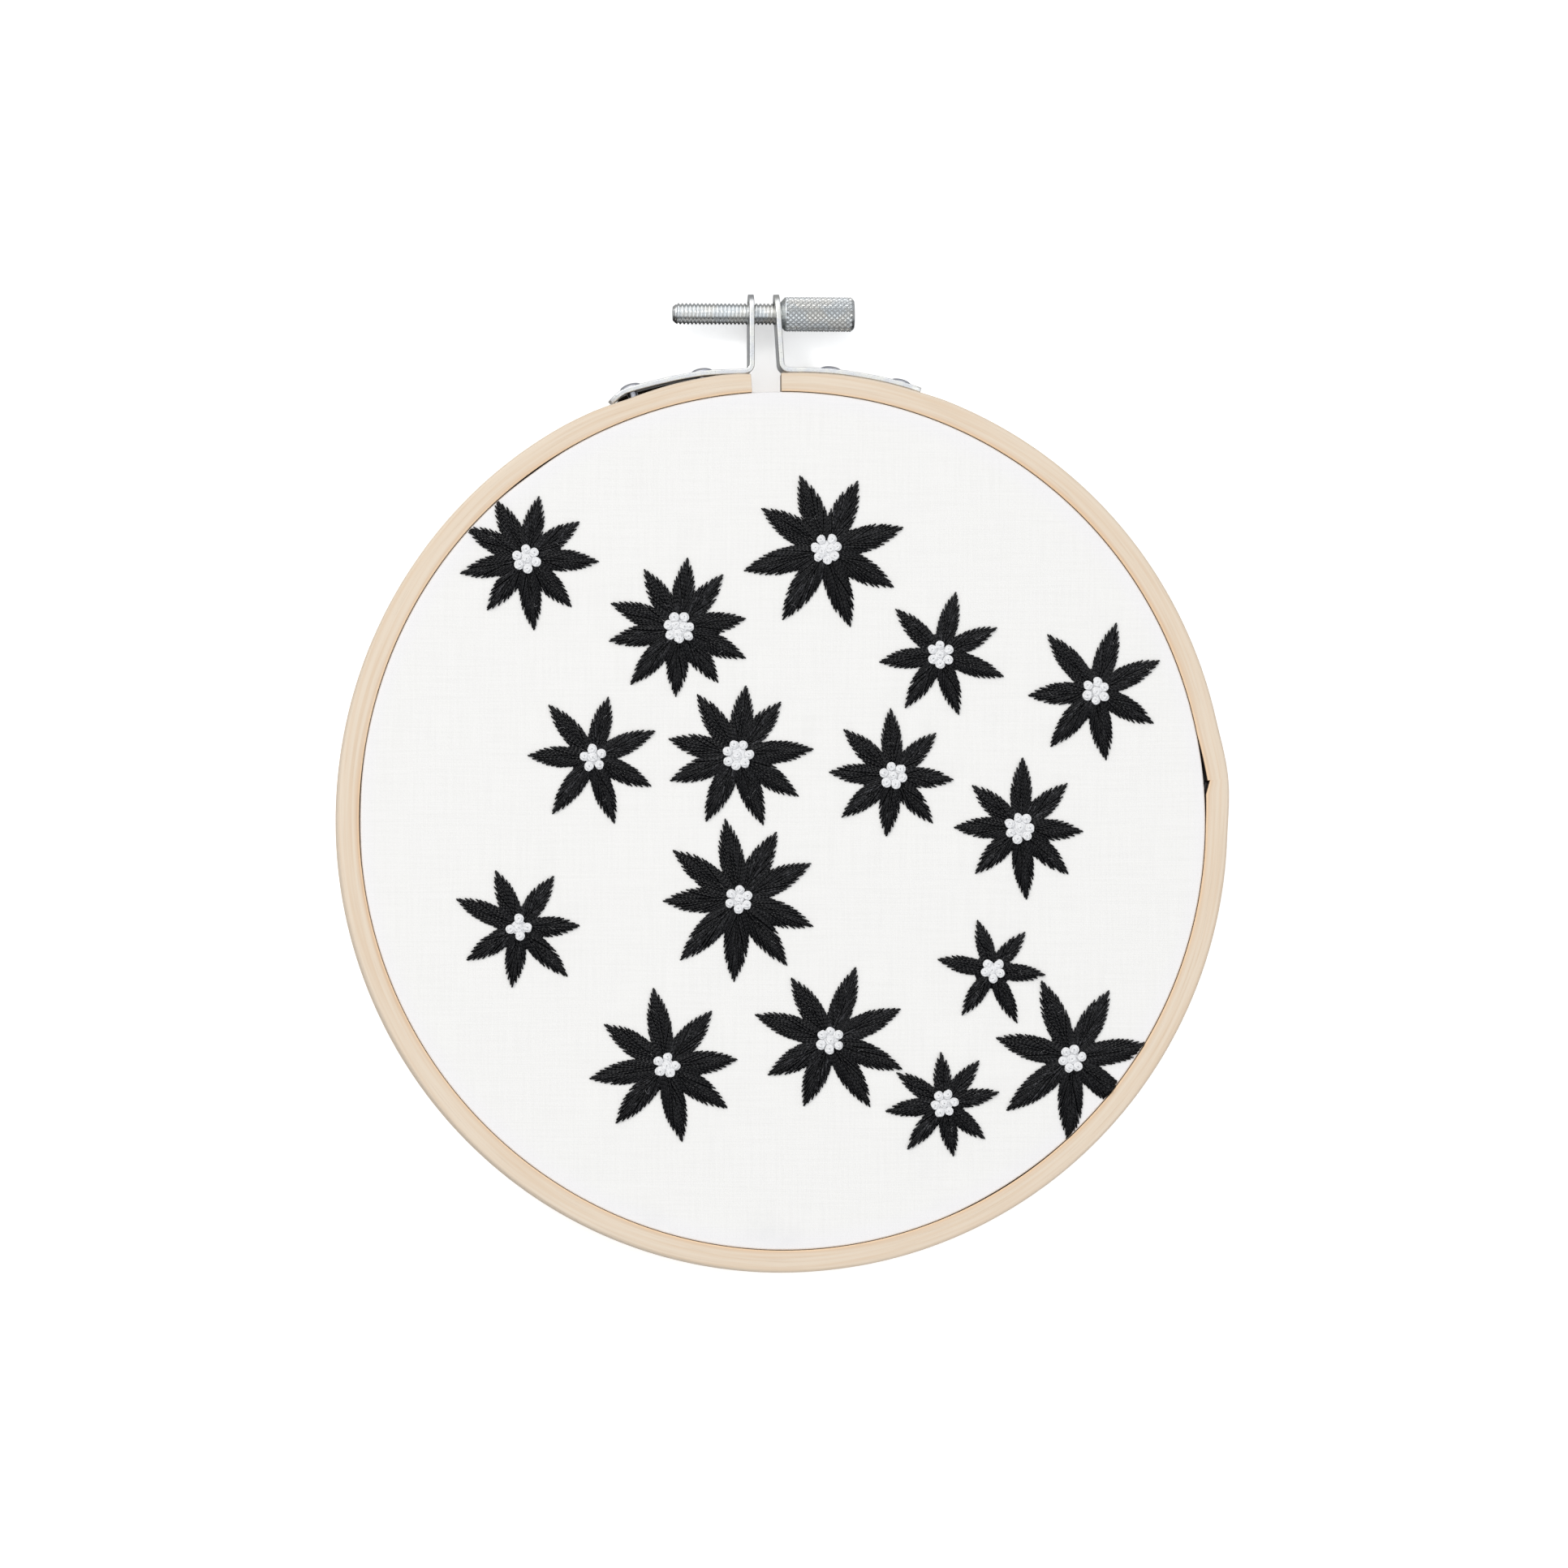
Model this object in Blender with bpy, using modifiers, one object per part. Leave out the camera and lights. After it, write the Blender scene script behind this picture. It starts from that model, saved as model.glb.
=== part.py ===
"""Hoop embroidery art: white cloth with sixteen black star flowers, held in a wooden embroidery hoop.

The hoop lies flat on its back. +Z comes out of the stitched face, +Y runs from the middle to the closing screw, and the
origin is at the middle of the whole piece's footprint, on the surface it lies on. Lengths are in metres.
"""

import math
import random

import bmesh
import bpy
from mathutils import Matrix, Vector

MM = 0.001
CLEARANCE = 0.3 * MM
MERGE = 0.01 * MM

# Outer ring: a wooden strip bent into a slightly oval hoop and split at the top
RING_HALF_WIDTH = 79.7 * MM
RING_HALF_HEIGHT = 80.7 * MM
RING_WALL = 3.9 * MM
RING_DEPTH = 9.0 * MM
RING_EDGE = 0.7 * MM
SHOULDER_SWELL = 0.3 * MM
RING_STEPS = 72
SPLIT_LEFT_X = -5.3 * MM
SPLIT_RIGHT_X = -0.1 * MM

# Kink at the right, where the wood bulges outwards and leaves the cloth
KINK_ANGLE = 5.5
KINK_OUTER_BULGE = 0.5 * MM
KINK_OUTER_REACH = 8.0
KINK_WIDENING = 0.26 * MM
KINK_INNER_GAP = 0.7 * MM
KINK_CRACK_STEP = 0.35 * MM
KINK_INNER_ABOVE = 6.5
KINK_INNER_BELOW = 3.5
KINK_EXTRA_ANGLES = (-2.5, 2.0, 3.8, 5.3, 5.7, 7.5, 12.5)

# Cloth drawn over the inner ring, and the inner ring under it
CLOTH_THICKNESS = 1.0 * MM
CLOTH_FACE_Z = 8.7 * MM
CLOTH_HEM_Z = 1.2 * MM
CLOTH_EDGE_ROUND = 0.5 * MM
INNER_RING_WALL = 4.0 * MM

# Closing brackets: bent strips with an ear, a foot and a half-round end
STRIP_THICKNESS = 0.8 * MM
STRIP_WIDTH = 7.0 * MM
STRIP_ROUNDING_STEPS = 5
SCREW_Y = 90.9 * MM
EAR_TOP_Y = SCREW_Y + STRIP_WIDTH / 2
EAR_FOOT_Y = 83.5 * MM
LEFT_EAR_X = -5.4 * MM
RIGHT_EAR_FOOT_X = -0.1 * MM
RIGHT_EAR_TOP_X = -0.65 * MM
BEND_RADIUS = 1.3 * MM
BEND_STEPS = 4
LEFT_CONTACT_X = -11.5 * MM
LEFT_LIFT_X = -28.3 * MM
LEFT_LIFT_SLOPE = 0.165
LEFT_CURL_X = -30.6 * MM
RIGHT_FOOT_END_ANGLE = 72.2
FOOT_STEP_ANGLE = 3.0
EAR_HOLE_RADIUS = 2.3 * MM
END_BLUNTNESS = 0.25
FAR_END_OVERHANG = 2.5 * MM
CUTTER_REACH = 8.0 * MM

# Rivets, placed by their distance left or right of the ring's middle
RIVET_HEAD_RADIUS = 1.95 * MM
RIVET_HEAD_HEIGHT = 0.75 * MM
RIVET_SHANK_RADIUS = 0.9 * MM
RIVET_SIDES = 12
RIVET_DOME = (
    # share of the head's height, share of the head's radius
    (0.0, 1.0),
    (0.45, 0.86),
    (0.85, 0.45),
    (1.0, 0.0),
)
RIVETS = (
    # name, x of its middle, bracket it holds
    ("rivet_left_far", -27.0 * MM, "left"),
    ("rivet_left_near", -14.3 * MM, "left"),
    ("rivet_right_near", 8.7 * MM, "right"),
    ("rivet_right_far", 21.3 * MM, "right"),
)

# Thumb screw: threaded rod, coned shoulder and grip
THREAD_PITCH = 0.7 * MM
THREAD_CREST_RADIUS = 1.92 * MM
THREAD_ROOT_RADIUS = 1.6 * MM
THREAD_TURNS = 26
ROD_TIP_RADIUS = 1.3 * MM
ROD_TIP_X = -19.6 * MM
GRIP_START_X = 0.25 * MM
GRIP_END_X = 12.95 * MM
GRIP_RADIUS = 3.1 * MM
SHOULDER_RADIUS = 2.1 * MM
SHOULDER_LENGTH = 1.0 * MM
GRIP_CHAMFER = 0.5 * MM
SCREW_SIDES = 12

# Stitched flowers
PETAL_THICKNESS = 0.5 * MM
PETAL_TOP_WIDTH_SHARE = 0.55
PETAL_TOP_LENGTH_SHARE = 0.95
PETAL_ROOT_NARROWING = 0.35
PETAL_TAPER_POWER = 1.8
PETAL_HALF_WIDTH_SHARE = 0.165
PETAL_WIDEST_SHARE = 0.46
FLOWER_HEART_SHARE = 0.36
FLOWER_VALLEY_SHARE = 0.5
LENGTH_UNEVENNESS = 0.07
ANGLE_UNEVENNESS = 5.0
RIM_MARGIN = 0.4 * MM
FLOWER_SEED = 7
PETAL_SIDE_SHARES = (0.62, 0.82)

FLOWERS = (
    # x, y, reach (mm from the ring's middle), petals, turn of the first petal (degrees), knots
    (-46.0, 46.5, 12.2, 9, 37, 7),
    (7.7, 48.3, 14.6, 8, 16, 9),
    (-18.7, 34.2, 12.6, 10, 13, 10),
    (28.1, 29.7, 11.3, 7, 29, 7),
    (56.0, 23.2, 12.5, 7, 26, 7),
    (-34.1, 11.0, 11.7, 7, 28, 6),
    (-8.3, 11.6, 13.0, 9, 6, 8),
    (19.6, 8.0, 11.6, 8, 43, 7),
    (42.3, -1.3, 12.0, 8, 2, 8),
    (-47.3, -19.3, 11.5, 7, 6, 5),
    (-8.0, -14.2, 14.1, 9, 23, 7),
    (37.4, -26.8, 9.7, 6, 51, 6),
    (-21.0, -43.9, 13.3, 8, 8, 6),
    (8.3, -39.3, 13.3, 8, 27, 7),
    (28.7, -50.6, 9.9, 8, 7, 7),
    (51.6, -42.5, 14.1, 7, 12, 7),
)

# French knots in a flower's middle, on the flat patch of thread under them
KNOT_RADIUS = 0.93 * MM
KNOT_HALF_HEIGHT = 0.58 * MM
KNOT_PITCH = 1.93 * MM
KNOT_SIDES = 6
KNOT_RINGS = 4
KNOT_PATCH_THICKNESS = 0.35 * MM
KNOT_PATCH_SIDES = 12
KNOT_LIFT = 0.03 * MM

# The ring's middle in the part's own frame, whose origin is the middle of the footprint
RING_X = -KINK_WIDENING / 2
RING_Y = -(EAR_TOP_Y - RING_HALF_HEIGHT) / 2
RING_MIDDLE = Vector((RING_X, RING_Y, 0.0))


def clear_scene():
    """Empty the scene that a new file starts with."""
    for found in list(bpy.data.objects):
        bpy.data.objects.remove(found)


def new_collection(name):
    """A collection linked to the scene."""
    collection = bpy.data.collections.new(name)
    bpy.context.scene.collection.children.link(collection)
    return collection


def new_material(name, colour, roughness, metallic=0.0):
    """A plain Principled material."""
    material = bpy.data.materials.new(name)
    material.use_nodes = True
    shader = material.node_tree.nodes["Principled BSDF"]
    shader.inputs["Base Color"].default_value = (*colour, 1.0)
    shader.inputs["Roughness"].default_value = roughness
    shader.inputs["Metallic"].default_value = metallic
    return material


def new_object(name, mesh, collection, material=None):
    """An object that holds the mesh, in its collection and with its material."""
    made = bpy.data.objects.new(name, mesh)
    if material:
        mesh.materials.append(material)
    collection.objects.link(made)
    return made


def mesh_from(shape, name, smooth_under=None):
    """A mesh from a bmesh with its faces turned outwards, shaded smooth under an angle if one is given."""
    bmesh.ops.recalc_face_normals(shape, faces=shape.faces)
    mesh = bpy.data.meshes.new(name)
    shape.to_mesh(mesh)
    shape.free()
    if smooth_under:
        mesh.shade_smooth()
        mesh.set_sharp_from_angle(angle=math.radians(smooth_under))
    return mesh


def as_cutter(tool):
    """Hide a shape that only cuts."""
    tool.hide_render = True
    tool.display_type = "WIRE"


def cut(target, tool):
    """Cut one object out of another."""
    modifier = target.modifiers.new("cut_" + tool.name, "BOOLEAN")
    modifier.operation = "DIFFERENCE"
    modifier.object = tool


def loft(shape, sections, closed):
    """Join rows of points with quads: a closed row of sections, or an open one with an end face at each end."""
    rows = [[shape.verts.new(point) for point in section] for section in sections]
    pairs = list(zip(rows, rows[1:]))
    if closed:
        pairs.append((rows[-1], rows[0]))
    for near, far in pairs:
        for i, corner in enumerate(near):
            j = (i + 1) % len(near)
            shape.faces.new((corner, near[j], far[j], far[i]))
    if not closed:
        shape.faces.new(rows[0])
        shape.faces.new(rows[-1])
    return rows


def hoop_radius(degrees):
    """Radius of the wood's outer face: an oval whose two upper shoulders swell a little."""
    turn = math.radians(degrees)
    oval = 1.0 / math.hypot(math.cos(turn) / RING_HALF_WIDTH, math.sin(turn) / RING_HALF_HEIGHT)
    if math.sin(turn) <= 0.0:
        return oval
    return oval + SHOULDER_SWELL * math.sin(2.0 * turn) ** 2


def hoop_point(degrees, inset, z):
    """A point of the hoop, inset from the wood's outer face."""
    radius = hoop_radius(degrees) - inset
    turn = math.radians(degrees)
    return Vector((RING_X + radius * math.cos(turn), RING_Y + radius * math.sin(turn), z))


def angle_at_x(x):
    """The angle at which the wood's upper outer face stands over a distance right of the ring's middle."""
    return math.degrees(math.acos(x / RING_HALF_HEIGHT))


def kink_bulge(degrees):
    """How far the wood's outer face swells at the kink."""
    away = abs(degrees - KINK_ANGLE) / KINK_OUTER_REACH
    return KINK_OUTER_BULGE * 0.5 * (1.0 + math.cos(math.pi * min(1.0, away)))


def kink_gap(degrees):
    """How far the wood's inner face leaves the cloth at the kink, with the crack's step on its lower side."""
    away = degrees - KINK_ANGLE
    if away >= 0.0:
        return KINK_INNER_GAP * max(0.0, 1.0 - away / KINK_INNER_ABOVE)
    return (KINK_INNER_GAP + KINK_CRACK_STEP) * max(0.0, 1.0 + away / KINK_INNER_BELOW)


def ring_angles(start, end, extra=()):
    """Even steps of the ring between two angles, with both ends and any extra angles that lie between them."""
    step = 360.0 / RING_STEPS
    inside = [i * step for i in range(math.ceil(start / step), math.ceil(end / step))]
    turned = [angle + 360.0 * turns for angle in extra for turns in (0, 1)]
    inside += [angle for angle in turned if start < angle < end]
    return sorted({start, end, *inside})


def build_outer_ring(collection, material):
    """The split outer ring: one bent strip with rounded edges, from the right end face round to the left one."""
    start = angle_at_x(SPLIT_LEFT_X) - 360.0
    end = angle_at_x(SPLIT_RIGHT_X)
    sections = []
    for degrees in ring_angles(start, end, KINK_EXTRA_ANGLES):
        outside = -kink_bulge(degrees)
        inside = RING_WALL - kink_gap(degrees)
        outline = (
            (outside, RING_EDGE),
            (outside, RING_DEPTH - RING_EDGE),
            (outside + RING_EDGE, RING_DEPTH),
            (inside - RING_EDGE, RING_DEPTH),
            (inside, RING_DEPTH - RING_EDGE),
            (inside, RING_EDGE),
            (inside - RING_EDGE, 0.0),
            (outside + RING_EDGE, 0.0),
        )
        sections.append([hoop_point(degrees, inset, z) for inset, z in outline])
    shape = bmesh.new()
    loft(shape, sections, closed=False)
    return new_object("outer_ring", mesh_from(shape, "outer_ring", 50), collection, material)


def build_inner_ring(collection, material):
    """The inner ring that the cloth is drawn over."""
    outside = RING_WALL + 2.0 * CLEARANCE + CLOTH_THICKNESS
    inside = outside + INNER_RING_WALL
    top = CLOTH_FACE_Z - CLOTH_THICKNESS - CLEARANCE
    outline = ((outside, 0.0), (outside, top), (inside, top), (inside, 0.0))
    sections = [
        [hoop_point(degrees, inset, z) for inset, z in outline]
        for degrees in ring_angles(0.0, 360.0)[:-1]
    ]
    shape = bmesh.new()
    loft(shape, sections, closed=True)
    return new_object("inner_ring", mesh_from(shape, "inner_ring", 50), collection, material)


def build_cloth(collection, material):
    """The cloth: a flat face that turns over the inner ring and runs down between the rings."""
    outside = RING_WALL + CLEARANCE
    inside = outside + CLOTH_THICKNESS
    under = CLOTH_FACE_Z - CLOTH_THICKNESS
    outline = (
        (outside + CLOTH_EDGE_ROUND, CLOTH_FACE_Z),
        (outside, CLOTH_FACE_Z - CLOTH_EDGE_ROUND),
        (outside, CLOTH_HEM_Z),
        (inside, CLOTH_HEM_Z),
        (inside, under),
    )
    shape = bmesh.new()
    rows = []
    for degrees in ring_angles(0.0, 360.0)[:-1]:
        rows.append([shape.verts.new(hoop_point(degrees, inset, z)) for inset, z in outline])
    for i, near in enumerate(rows):
        far = rows[(i + 1) % len(rows)]
        for j in range(len(outline) - 1):
            shape.faces.new((near[j], near[j + 1], far[j + 1], far[j]))
    shape.faces.new([row[0] for row in rows])
    shape.faces.new([row[-1] for row in rows])
    return new_object("cloth", mesh_from(shape, "cloth", 50), collection, material)


def bend_points(corner, start_angle, end_angle):
    """Points round a bend of the strip, about the bend's own middle."""
    points = []
    for i in range(BEND_STEPS + 1):
        turn = math.radians(start_angle + (end_angle - start_angle) * i / BEND_STEPS)
        points.append(corner + BEND_RADIUS * Vector((math.cos(turn), math.sin(turn))))
    return points


def left_bracket_path():
    """Middle line of the left strip, from the ear's top to the far end that curls back to the wood."""
    lift = CLEARANCE + STRIP_THICKNESS / 2
    contact = hoop_point(angle_at_x(LEFT_CONTACT_X), -lift, 0.0)
    far_x = RING_X + LEFT_LIFT_X
    far = Vector((far_x, contact.y + (far_x - contact.x) * LEFT_LIFT_SLOPE))
    curl = hoop_point(angle_at_x(LEFT_CURL_X), -lift, 0.0).xy
    foot_y = hoop_point(angle_at_x(LEFT_EAR_X - BEND_RADIUS), -lift, 0.0).y
    corner = Vector((RING_X + LEFT_EAR_X - BEND_RADIUS, foot_y + BEND_RADIUS))
    shoulder = (far + curl) / 2 + Vector((0.0, STRIP_THICKNESS / 2))
    ear = [Vector((RING_X + LEFT_EAR_X, RING_Y + EAR_TOP_Y - drop)) for drop in ear_drops()]
    return ear + bend_points(corner, 0.0, -90.0) + [contact.xy, far, shoulder, curl]


def right_bracket_path():
    """Middle line of the right strip, from the leaning ear's top along the wood to its far end."""
    lift = CLEARANCE + STRIP_THICKNESS / 2
    ear = []
    for drop in ear_drops():
        share = drop / (EAR_TOP_Y - EAR_FOOT_Y)
        x = RIGHT_EAR_TOP_X + (RIGHT_EAR_FOOT_X - RIGHT_EAR_TOP_X) * share
        ear.append(Vector((RING_X + x, RING_Y + EAR_TOP_Y - drop)))
    foot_y = hoop_point(90.0, -lift, 0.0).y
    corner = Vector((RING_X + RIGHT_EAR_FOOT_X + BEND_RADIUS, foot_y + BEND_RADIUS))
    bend = bend_points(corner, 180.0, 270.0)
    first = angle_at_x(bend[-1].x - RING_X) - FOOT_STEP_ANGLE
    steps = round((first - RIGHT_FOOT_END_ANGLE) / FOOT_STEP_ANGLE)
    angles = [first + (RIGHT_FOOT_END_ANGLE - first) * i / steps for i in range(steps + 1)]
    return ear + bend + [hoop_point(angle, -lift, 0.0).xy for angle in angles]


def ear_drops():
    """Distances down from the ear's top, close together where its end is half round."""
    radius = STRIP_WIDTH / 2
    rounding = [
        radius * (1.0 - math.cos(math.pi / 2 * i / STRIP_ROUNDING_STEPS))
        for i in range(STRIP_ROUNDING_STEPS + 1)
    ]
    return rounding + [EAR_TOP_Y - EAR_FOOT_Y]


def half_width(distance_to_end):
    """Half the strip's width at a distance from its half-round end."""
    radius = STRIP_WIDTH / 2
    short = radius - min(distance_to_end, radius)
    return max(END_BLUNTNESS * radius, math.sqrt(max(0.0, radius**2 - short**2)))


def build_bracket(name, path, collection, material):
    """A bent strip along its path: an open strip made solid, its ear half round and its far end rounded off."""
    travelled = [0.0]
    for near, far in zip(path, path[1:]):
        travelled.append(travelled[-1] + (far - near).length)
    shape = bmesh.new()
    rows = []
    for point, done in zip(path, travelled):
        width = min(half_width(done), half_width(travelled[-1] - done + FAR_END_OVERHANG))
        middle = RING_DEPTH / 2
        rows.append([shape.verts.new((*point, middle + side * width)) for side in (-1.0, 1.0)])
    for near, far in zip(rows, rows[1:]):
        shape.faces.new((near[0], near[1], far[1], far[0]))
    strip = new_object(name, mesh_from(shape, name, 60), collection, material)
    wall = strip.modifiers.new("wall", "SOLIDIFY")
    wall.thickness = STRIP_THICKNESS
    wall.offset = 0.0
    wall.use_even_offset = True
    return strip


def cylinder_mesh(name, radius, length, sides):
    """A plain cylinder along Z, its middle at the origin."""
    shape = bmesh.new()
    bmesh.ops.create_cone(
        shape, cap_ends=True, segments=sides, radius1=radius, radius2=radius, depth=length
    )
    return mesh_from(shape, name)


def build_ear_hole(name, x, strip, cutters):
    """Cut the screw's hole through an ear."""
    mesh = cylinder_mesh(name, EAR_HOLE_RADIUS, CUTTER_REACH / 2, SCREW_SIDES)
    tool = new_object(name, mesh, cutters)
    tool.matrix_world = Matrix.Translation(
        RING_MIDDLE + Vector((x, SCREW_Y, RING_DEPTH / 2))
    ) @ Matrix.Rotation(math.pi / 2, 4, "Y")
    as_cutter(tool)
    cut(strip, tool)


def turned_solid(name, profile, sides, collection, material):
    """A solid turned about X from a profile of (distance along X, radius) points that runs towards +X."""
    shape = bmesh.new()
    row = [shape.verts.new((along, 0.0, radius)) for along, radius in reversed(profile)]
    for near, far in zip(row, row[1:]):
        shape.edges.new((near, far))
    mesh = bpy.data.meshes.new(name)
    shape.to_mesh(mesh)
    shape.free()
    mesh.shade_smooth()
    made = new_object(name, mesh, collection, material)
    turn = made.modifiers.new("turn", "SCREW")
    turn.axis = "X"
    turn.steps = sides
    turn.render_steps = sides
    turn.use_merge_vertices = True
    turn.merge_threshold = MERGE
    return made


def strip_seat(path, x):
    """The point of a strip's middle line over a distance right of the ring's middle, and the way the strip faces."""
    wanted = RING_X + x
    spans = [(near, far) for near, far in zip(path, path[1:]) if abs(far.x - near.x) > abs(far.y - near.y)]
    near, far = next(span for span in spans if (span[0].x - wanted) * (span[1].x - wanted) <= 0.0)
    share = (wanted - near.x) / (far.x - near.x)
    along = (far - near).normalized()
    out = Vector((-along.y, along.x))
    return near.lerp(far, share), out if out.y > 0.0 else -out


def build_rivet(name, x, path, strip, ring, holder):
    """A domed rivet through a strip and the wood, in holes with a little room round its shank."""
    seat, out = strip_seat(path, x)
    head_start = STRIP_THICKNESS / 2 + CLEARANCE
    depth = (seat - RING_MIDDLE.xy).length - (hoop_radius(angle_at_x(x)) - RING_WALL)
    shank_end = -(depth - CLEARANCE)
    profile = [(shank_end, 0.0), (shank_end, RIVET_SHANK_RADIUS), (head_start, RIVET_SHANK_RADIUS)]
    for up, wide in RIVET_DOME:
        profile.append((head_start + up * RIVET_HEAD_HEIGHT, wide * RIVET_HEAD_RADIUS))
    place = Matrix.Translation((seat.x, seat.y, RING_DEPTH / 2)) @ Matrix.Rotation(
        math.atan2(out.y, out.x), 4, "Z"
    )
    rivet = turned_solid(name, profile, RIVET_SIDES, holder["parts"], holder["zinc"])
    rivet.matrix_world = place
    hole = cylinder_mesh(
        name + "_hole", RIVET_SHANK_RADIUS + CLEARANCE, 2.0 * CUTTER_REACH, RIVET_SIDES
    )
    tool = new_object(name + "_hole", hole, holder["cutters"])
    tool.matrix_world = place @ Matrix.Rotation(math.pi / 2, 4, "Y")
    as_cutter(tool)
    cut(strip, tool)
    cut(ring, tool)


def build_screw(collection, material):
    """The thumb screw, turned about its own axis: chamfered tip, ridged thread, coned shoulder and grip."""
    profile = [(ROD_TIP_X, 0.0), (ROD_TIP_X, ROD_TIP_RADIUS)]
    start = ROD_TIP_X + THREAD_PITCH / 2
    for i in range(THREAD_TURNS):
        profile.append((start + i * THREAD_PITCH, THREAD_ROOT_RADIUS))
        profile.append((start + (i + 0.5) * THREAD_PITCH, THREAD_CREST_RADIUS))
    profile += [
        (start + THREAD_TURNS * THREAD_PITCH, THREAD_ROOT_RADIUS),
        (GRIP_START_X, THREAD_ROOT_RADIUS),
        (GRIP_START_X, SHOULDER_RADIUS),
        (GRIP_START_X + SHOULDER_LENGTH, GRIP_RADIUS),
        (GRIP_END_X - GRIP_CHAMFER, GRIP_RADIUS),
        (GRIP_END_X, GRIP_RADIUS - GRIP_CHAMFER),
        (GRIP_END_X, 0.0),
    ]
    screw = turned_solid("screw", profile, SCREW_SIDES, collection, material)
    screw.location = RING_MIDDLE + Vector((0.0, SCREW_Y, RING_DEPTH / 2))
    return screw


def petal_half_width(share, reach):
    """Half the width of a pointed petal at a share of its length."""
    if share < PETAL_WIDEST_SHARE:
        fullness = 1.0 - PETAL_ROOT_NARROWING * (1.0 - share / PETAL_WIDEST_SHARE) ** 2
    else:
        beyond = (share - PETAL_WIDEST_SHARE) / (1.0 - PETAL_WIDEST_SHARE)
        fullness = 1.0 - beyond**PETAL_TAPER_POWER
    return PETAL_HALF_WIDTH_SHARE * reach * fullness


def petal_points(angle, length, reach, thinning, shrink):
    """The two sides and the tip of one petal, from one side round the tip to the other."""
    along = Vector((math.cos(angle), math.sin(angle)))
    across = Vector((-along.y, along.x))
    sides = []
    for share in PETAL_SIDE_SHARES:
        width = petal_half_width(share, reach) * thinning
        sides.append((share * length * shrink, width))
    lower = [along * far - across * width for far, width in sides]
    upper = [along * far + across * width for far, width in reversed(sides)]
    return lower + [along * length * shrink] + upper


def flower_outlines(reach, petals, turn, spread):
    """The foot and the narrower top of a flower's outline, about its own middle."""
    step = 2.0 * math.pi / petals
    angles = []
    lengths = []
    for i in range(petals):
        uneven = math.radians(ANGLE_UNEVENNESS) * spread.uniform(-1.0, 1.0)
        angles.append(math.radians(turn) + i * step + uneven)
        lengths.append(reach * (1.0 + LENGTH_UNEVENNESS * spread.uniform(-1.0, 1.0)))
    foot = []
    top = []
    for i, angle in enumerate(angles):
        previous = angles[i - 1] - (2.0 * math.pi if i == 0 else 0.0)
        valley = (angle + previous) / 2
        opening = (angle - previous) / 2
        meeting = min(FLOWER_VALLEY_SHARE, PETAL_HALF_WIDTH_SHARE / math.tan(opening))
        heart = reach * max(FLOWER_HEART_SHARE, meeting)
        towards = Vector((math.cos(valley), math.sin(valley)))
        foot.append(towards * heart)
        top.append(towards * heart * PETAL_TOP_LENGTH_SHARE)
        foot += petal_points(angle, lengths[i], reach, 1.0, 1.0)
        top += petal_points(angle, lengths[i], reach, PETAL_TOP_WIDTH_SHARE, PETAL_TOP_LENGTH_SHARE)
    return foot, top


def kept_inside(point):
    """A point of the cloth's face, brought back inside the rim where a petal runs under the wood."""
    away = point - RING_MIDDLE.xy
    degrees = math.degrees(math.atan2(away.y, away.x))
    most = hoop_radius(degrees) - RING_WALL - CLEARANCE - RIM_MARGIN
    return RING_MIDDLE.xy + away.normalized() * min(away.length, most)


def build_flower(number, row, spread, collection, material):
    """A stitched flower: pointed petals round a solid heart, narrower at the top than at the cloth."""
    x, y, reach, petals, turn, _ = row
    middle = Vector((RING_X + x * MM, RING_Y + y * MM))
    foot, top = flower_outlines(reach * MM, petals, turn, spread)
    low = CLOTH_FACE_Z + CLEARANCE
    high = low + PETAL_THICKNESS
    shape = bmesh.new()
    sections = []
    for outline, z in ((foot, low), (top, high)):
        sections.append([(*kept_inside(middle + point), z) for point in outline])
    loft(shape, sections, closed=False)
    name = f"flower_{number:02d}"
    return new_object(name, mesh_from(shape, name), collection, material)


def knot_places(knots):
    """Middles of a cluster's knots, one in the middle and the rest in a ring, and the ring's radius."""
    around = knots - 1
    radius = max(KNOT_PITCH, KNOT_PITCH / (2.0 * math.sin(math.pi / around)))
    ring = []
    for i in range(around):
        turn = 2.0 * math.pi * i / around
        ring.append(Vector((radius * math.cos(turn), radius * math.sin(turn))))
    return [Vector((0.0, 0.0))] + ring, radius


def build_knots(number, row, holder):
    """A cluster of French knots on one patch of thread."""
    x, y, _, _, turn, knots = row
    low = CLOTH_FACE_Z + 2.0 * CLEARANCE + PETAL_THICKNESS
    places, radius = knot_places(knots)
    name = f"knots_{number:02d}"
    domes = bmesh.new()
    for place in places:
        squash = Matrix.Diagonal((KNOT_RADIUS, KNOT_RADIUS, KNOT_HALF_HEIGHT, 1.0))
        centre = Matrix.Translation((place.x, place.y, KNOT_HALF_HEIGHT + KNOT_LIFT))
        bmesh.ops.create_uvsphere(
            domes, u_segments=KNOT_SIDES, v_segments=KNOT_RINGS, radius=1.0, matrix=centre @ squash
        )
    tool = new_object(name + "_domes", mesh_from(domes, name + "_domes"), holder["cutters"])
    as_cutter(tool)
    patch_mesh = cylinder_mesh(name, radius + KNOT_RADIUS / 2, KNOT_PATCH_THICKNESS, KNOT_PATCH_SIDES)
    patch_mesh.transform(Matrix.Translation((0.0, 0.0, KNOT_PATCH_THICKNESS / 2)))
    patch = new_object(name, patch_mesh, holder["parts"], holder["thread"])
    place = Matrix.Translation(
        (RING_X + x * MM, RING_Y + y * MM, low)
    ) @ Matrix.Rotation(math.radians(turn), 4, "Z")
    tool.matrix_world = place
    patch.matrix_world = place
    join = patch.modifiers.new("domes", "BOOLEAN")
    join.operation = "UNION"
    join.object = tool
    return patch


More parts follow.
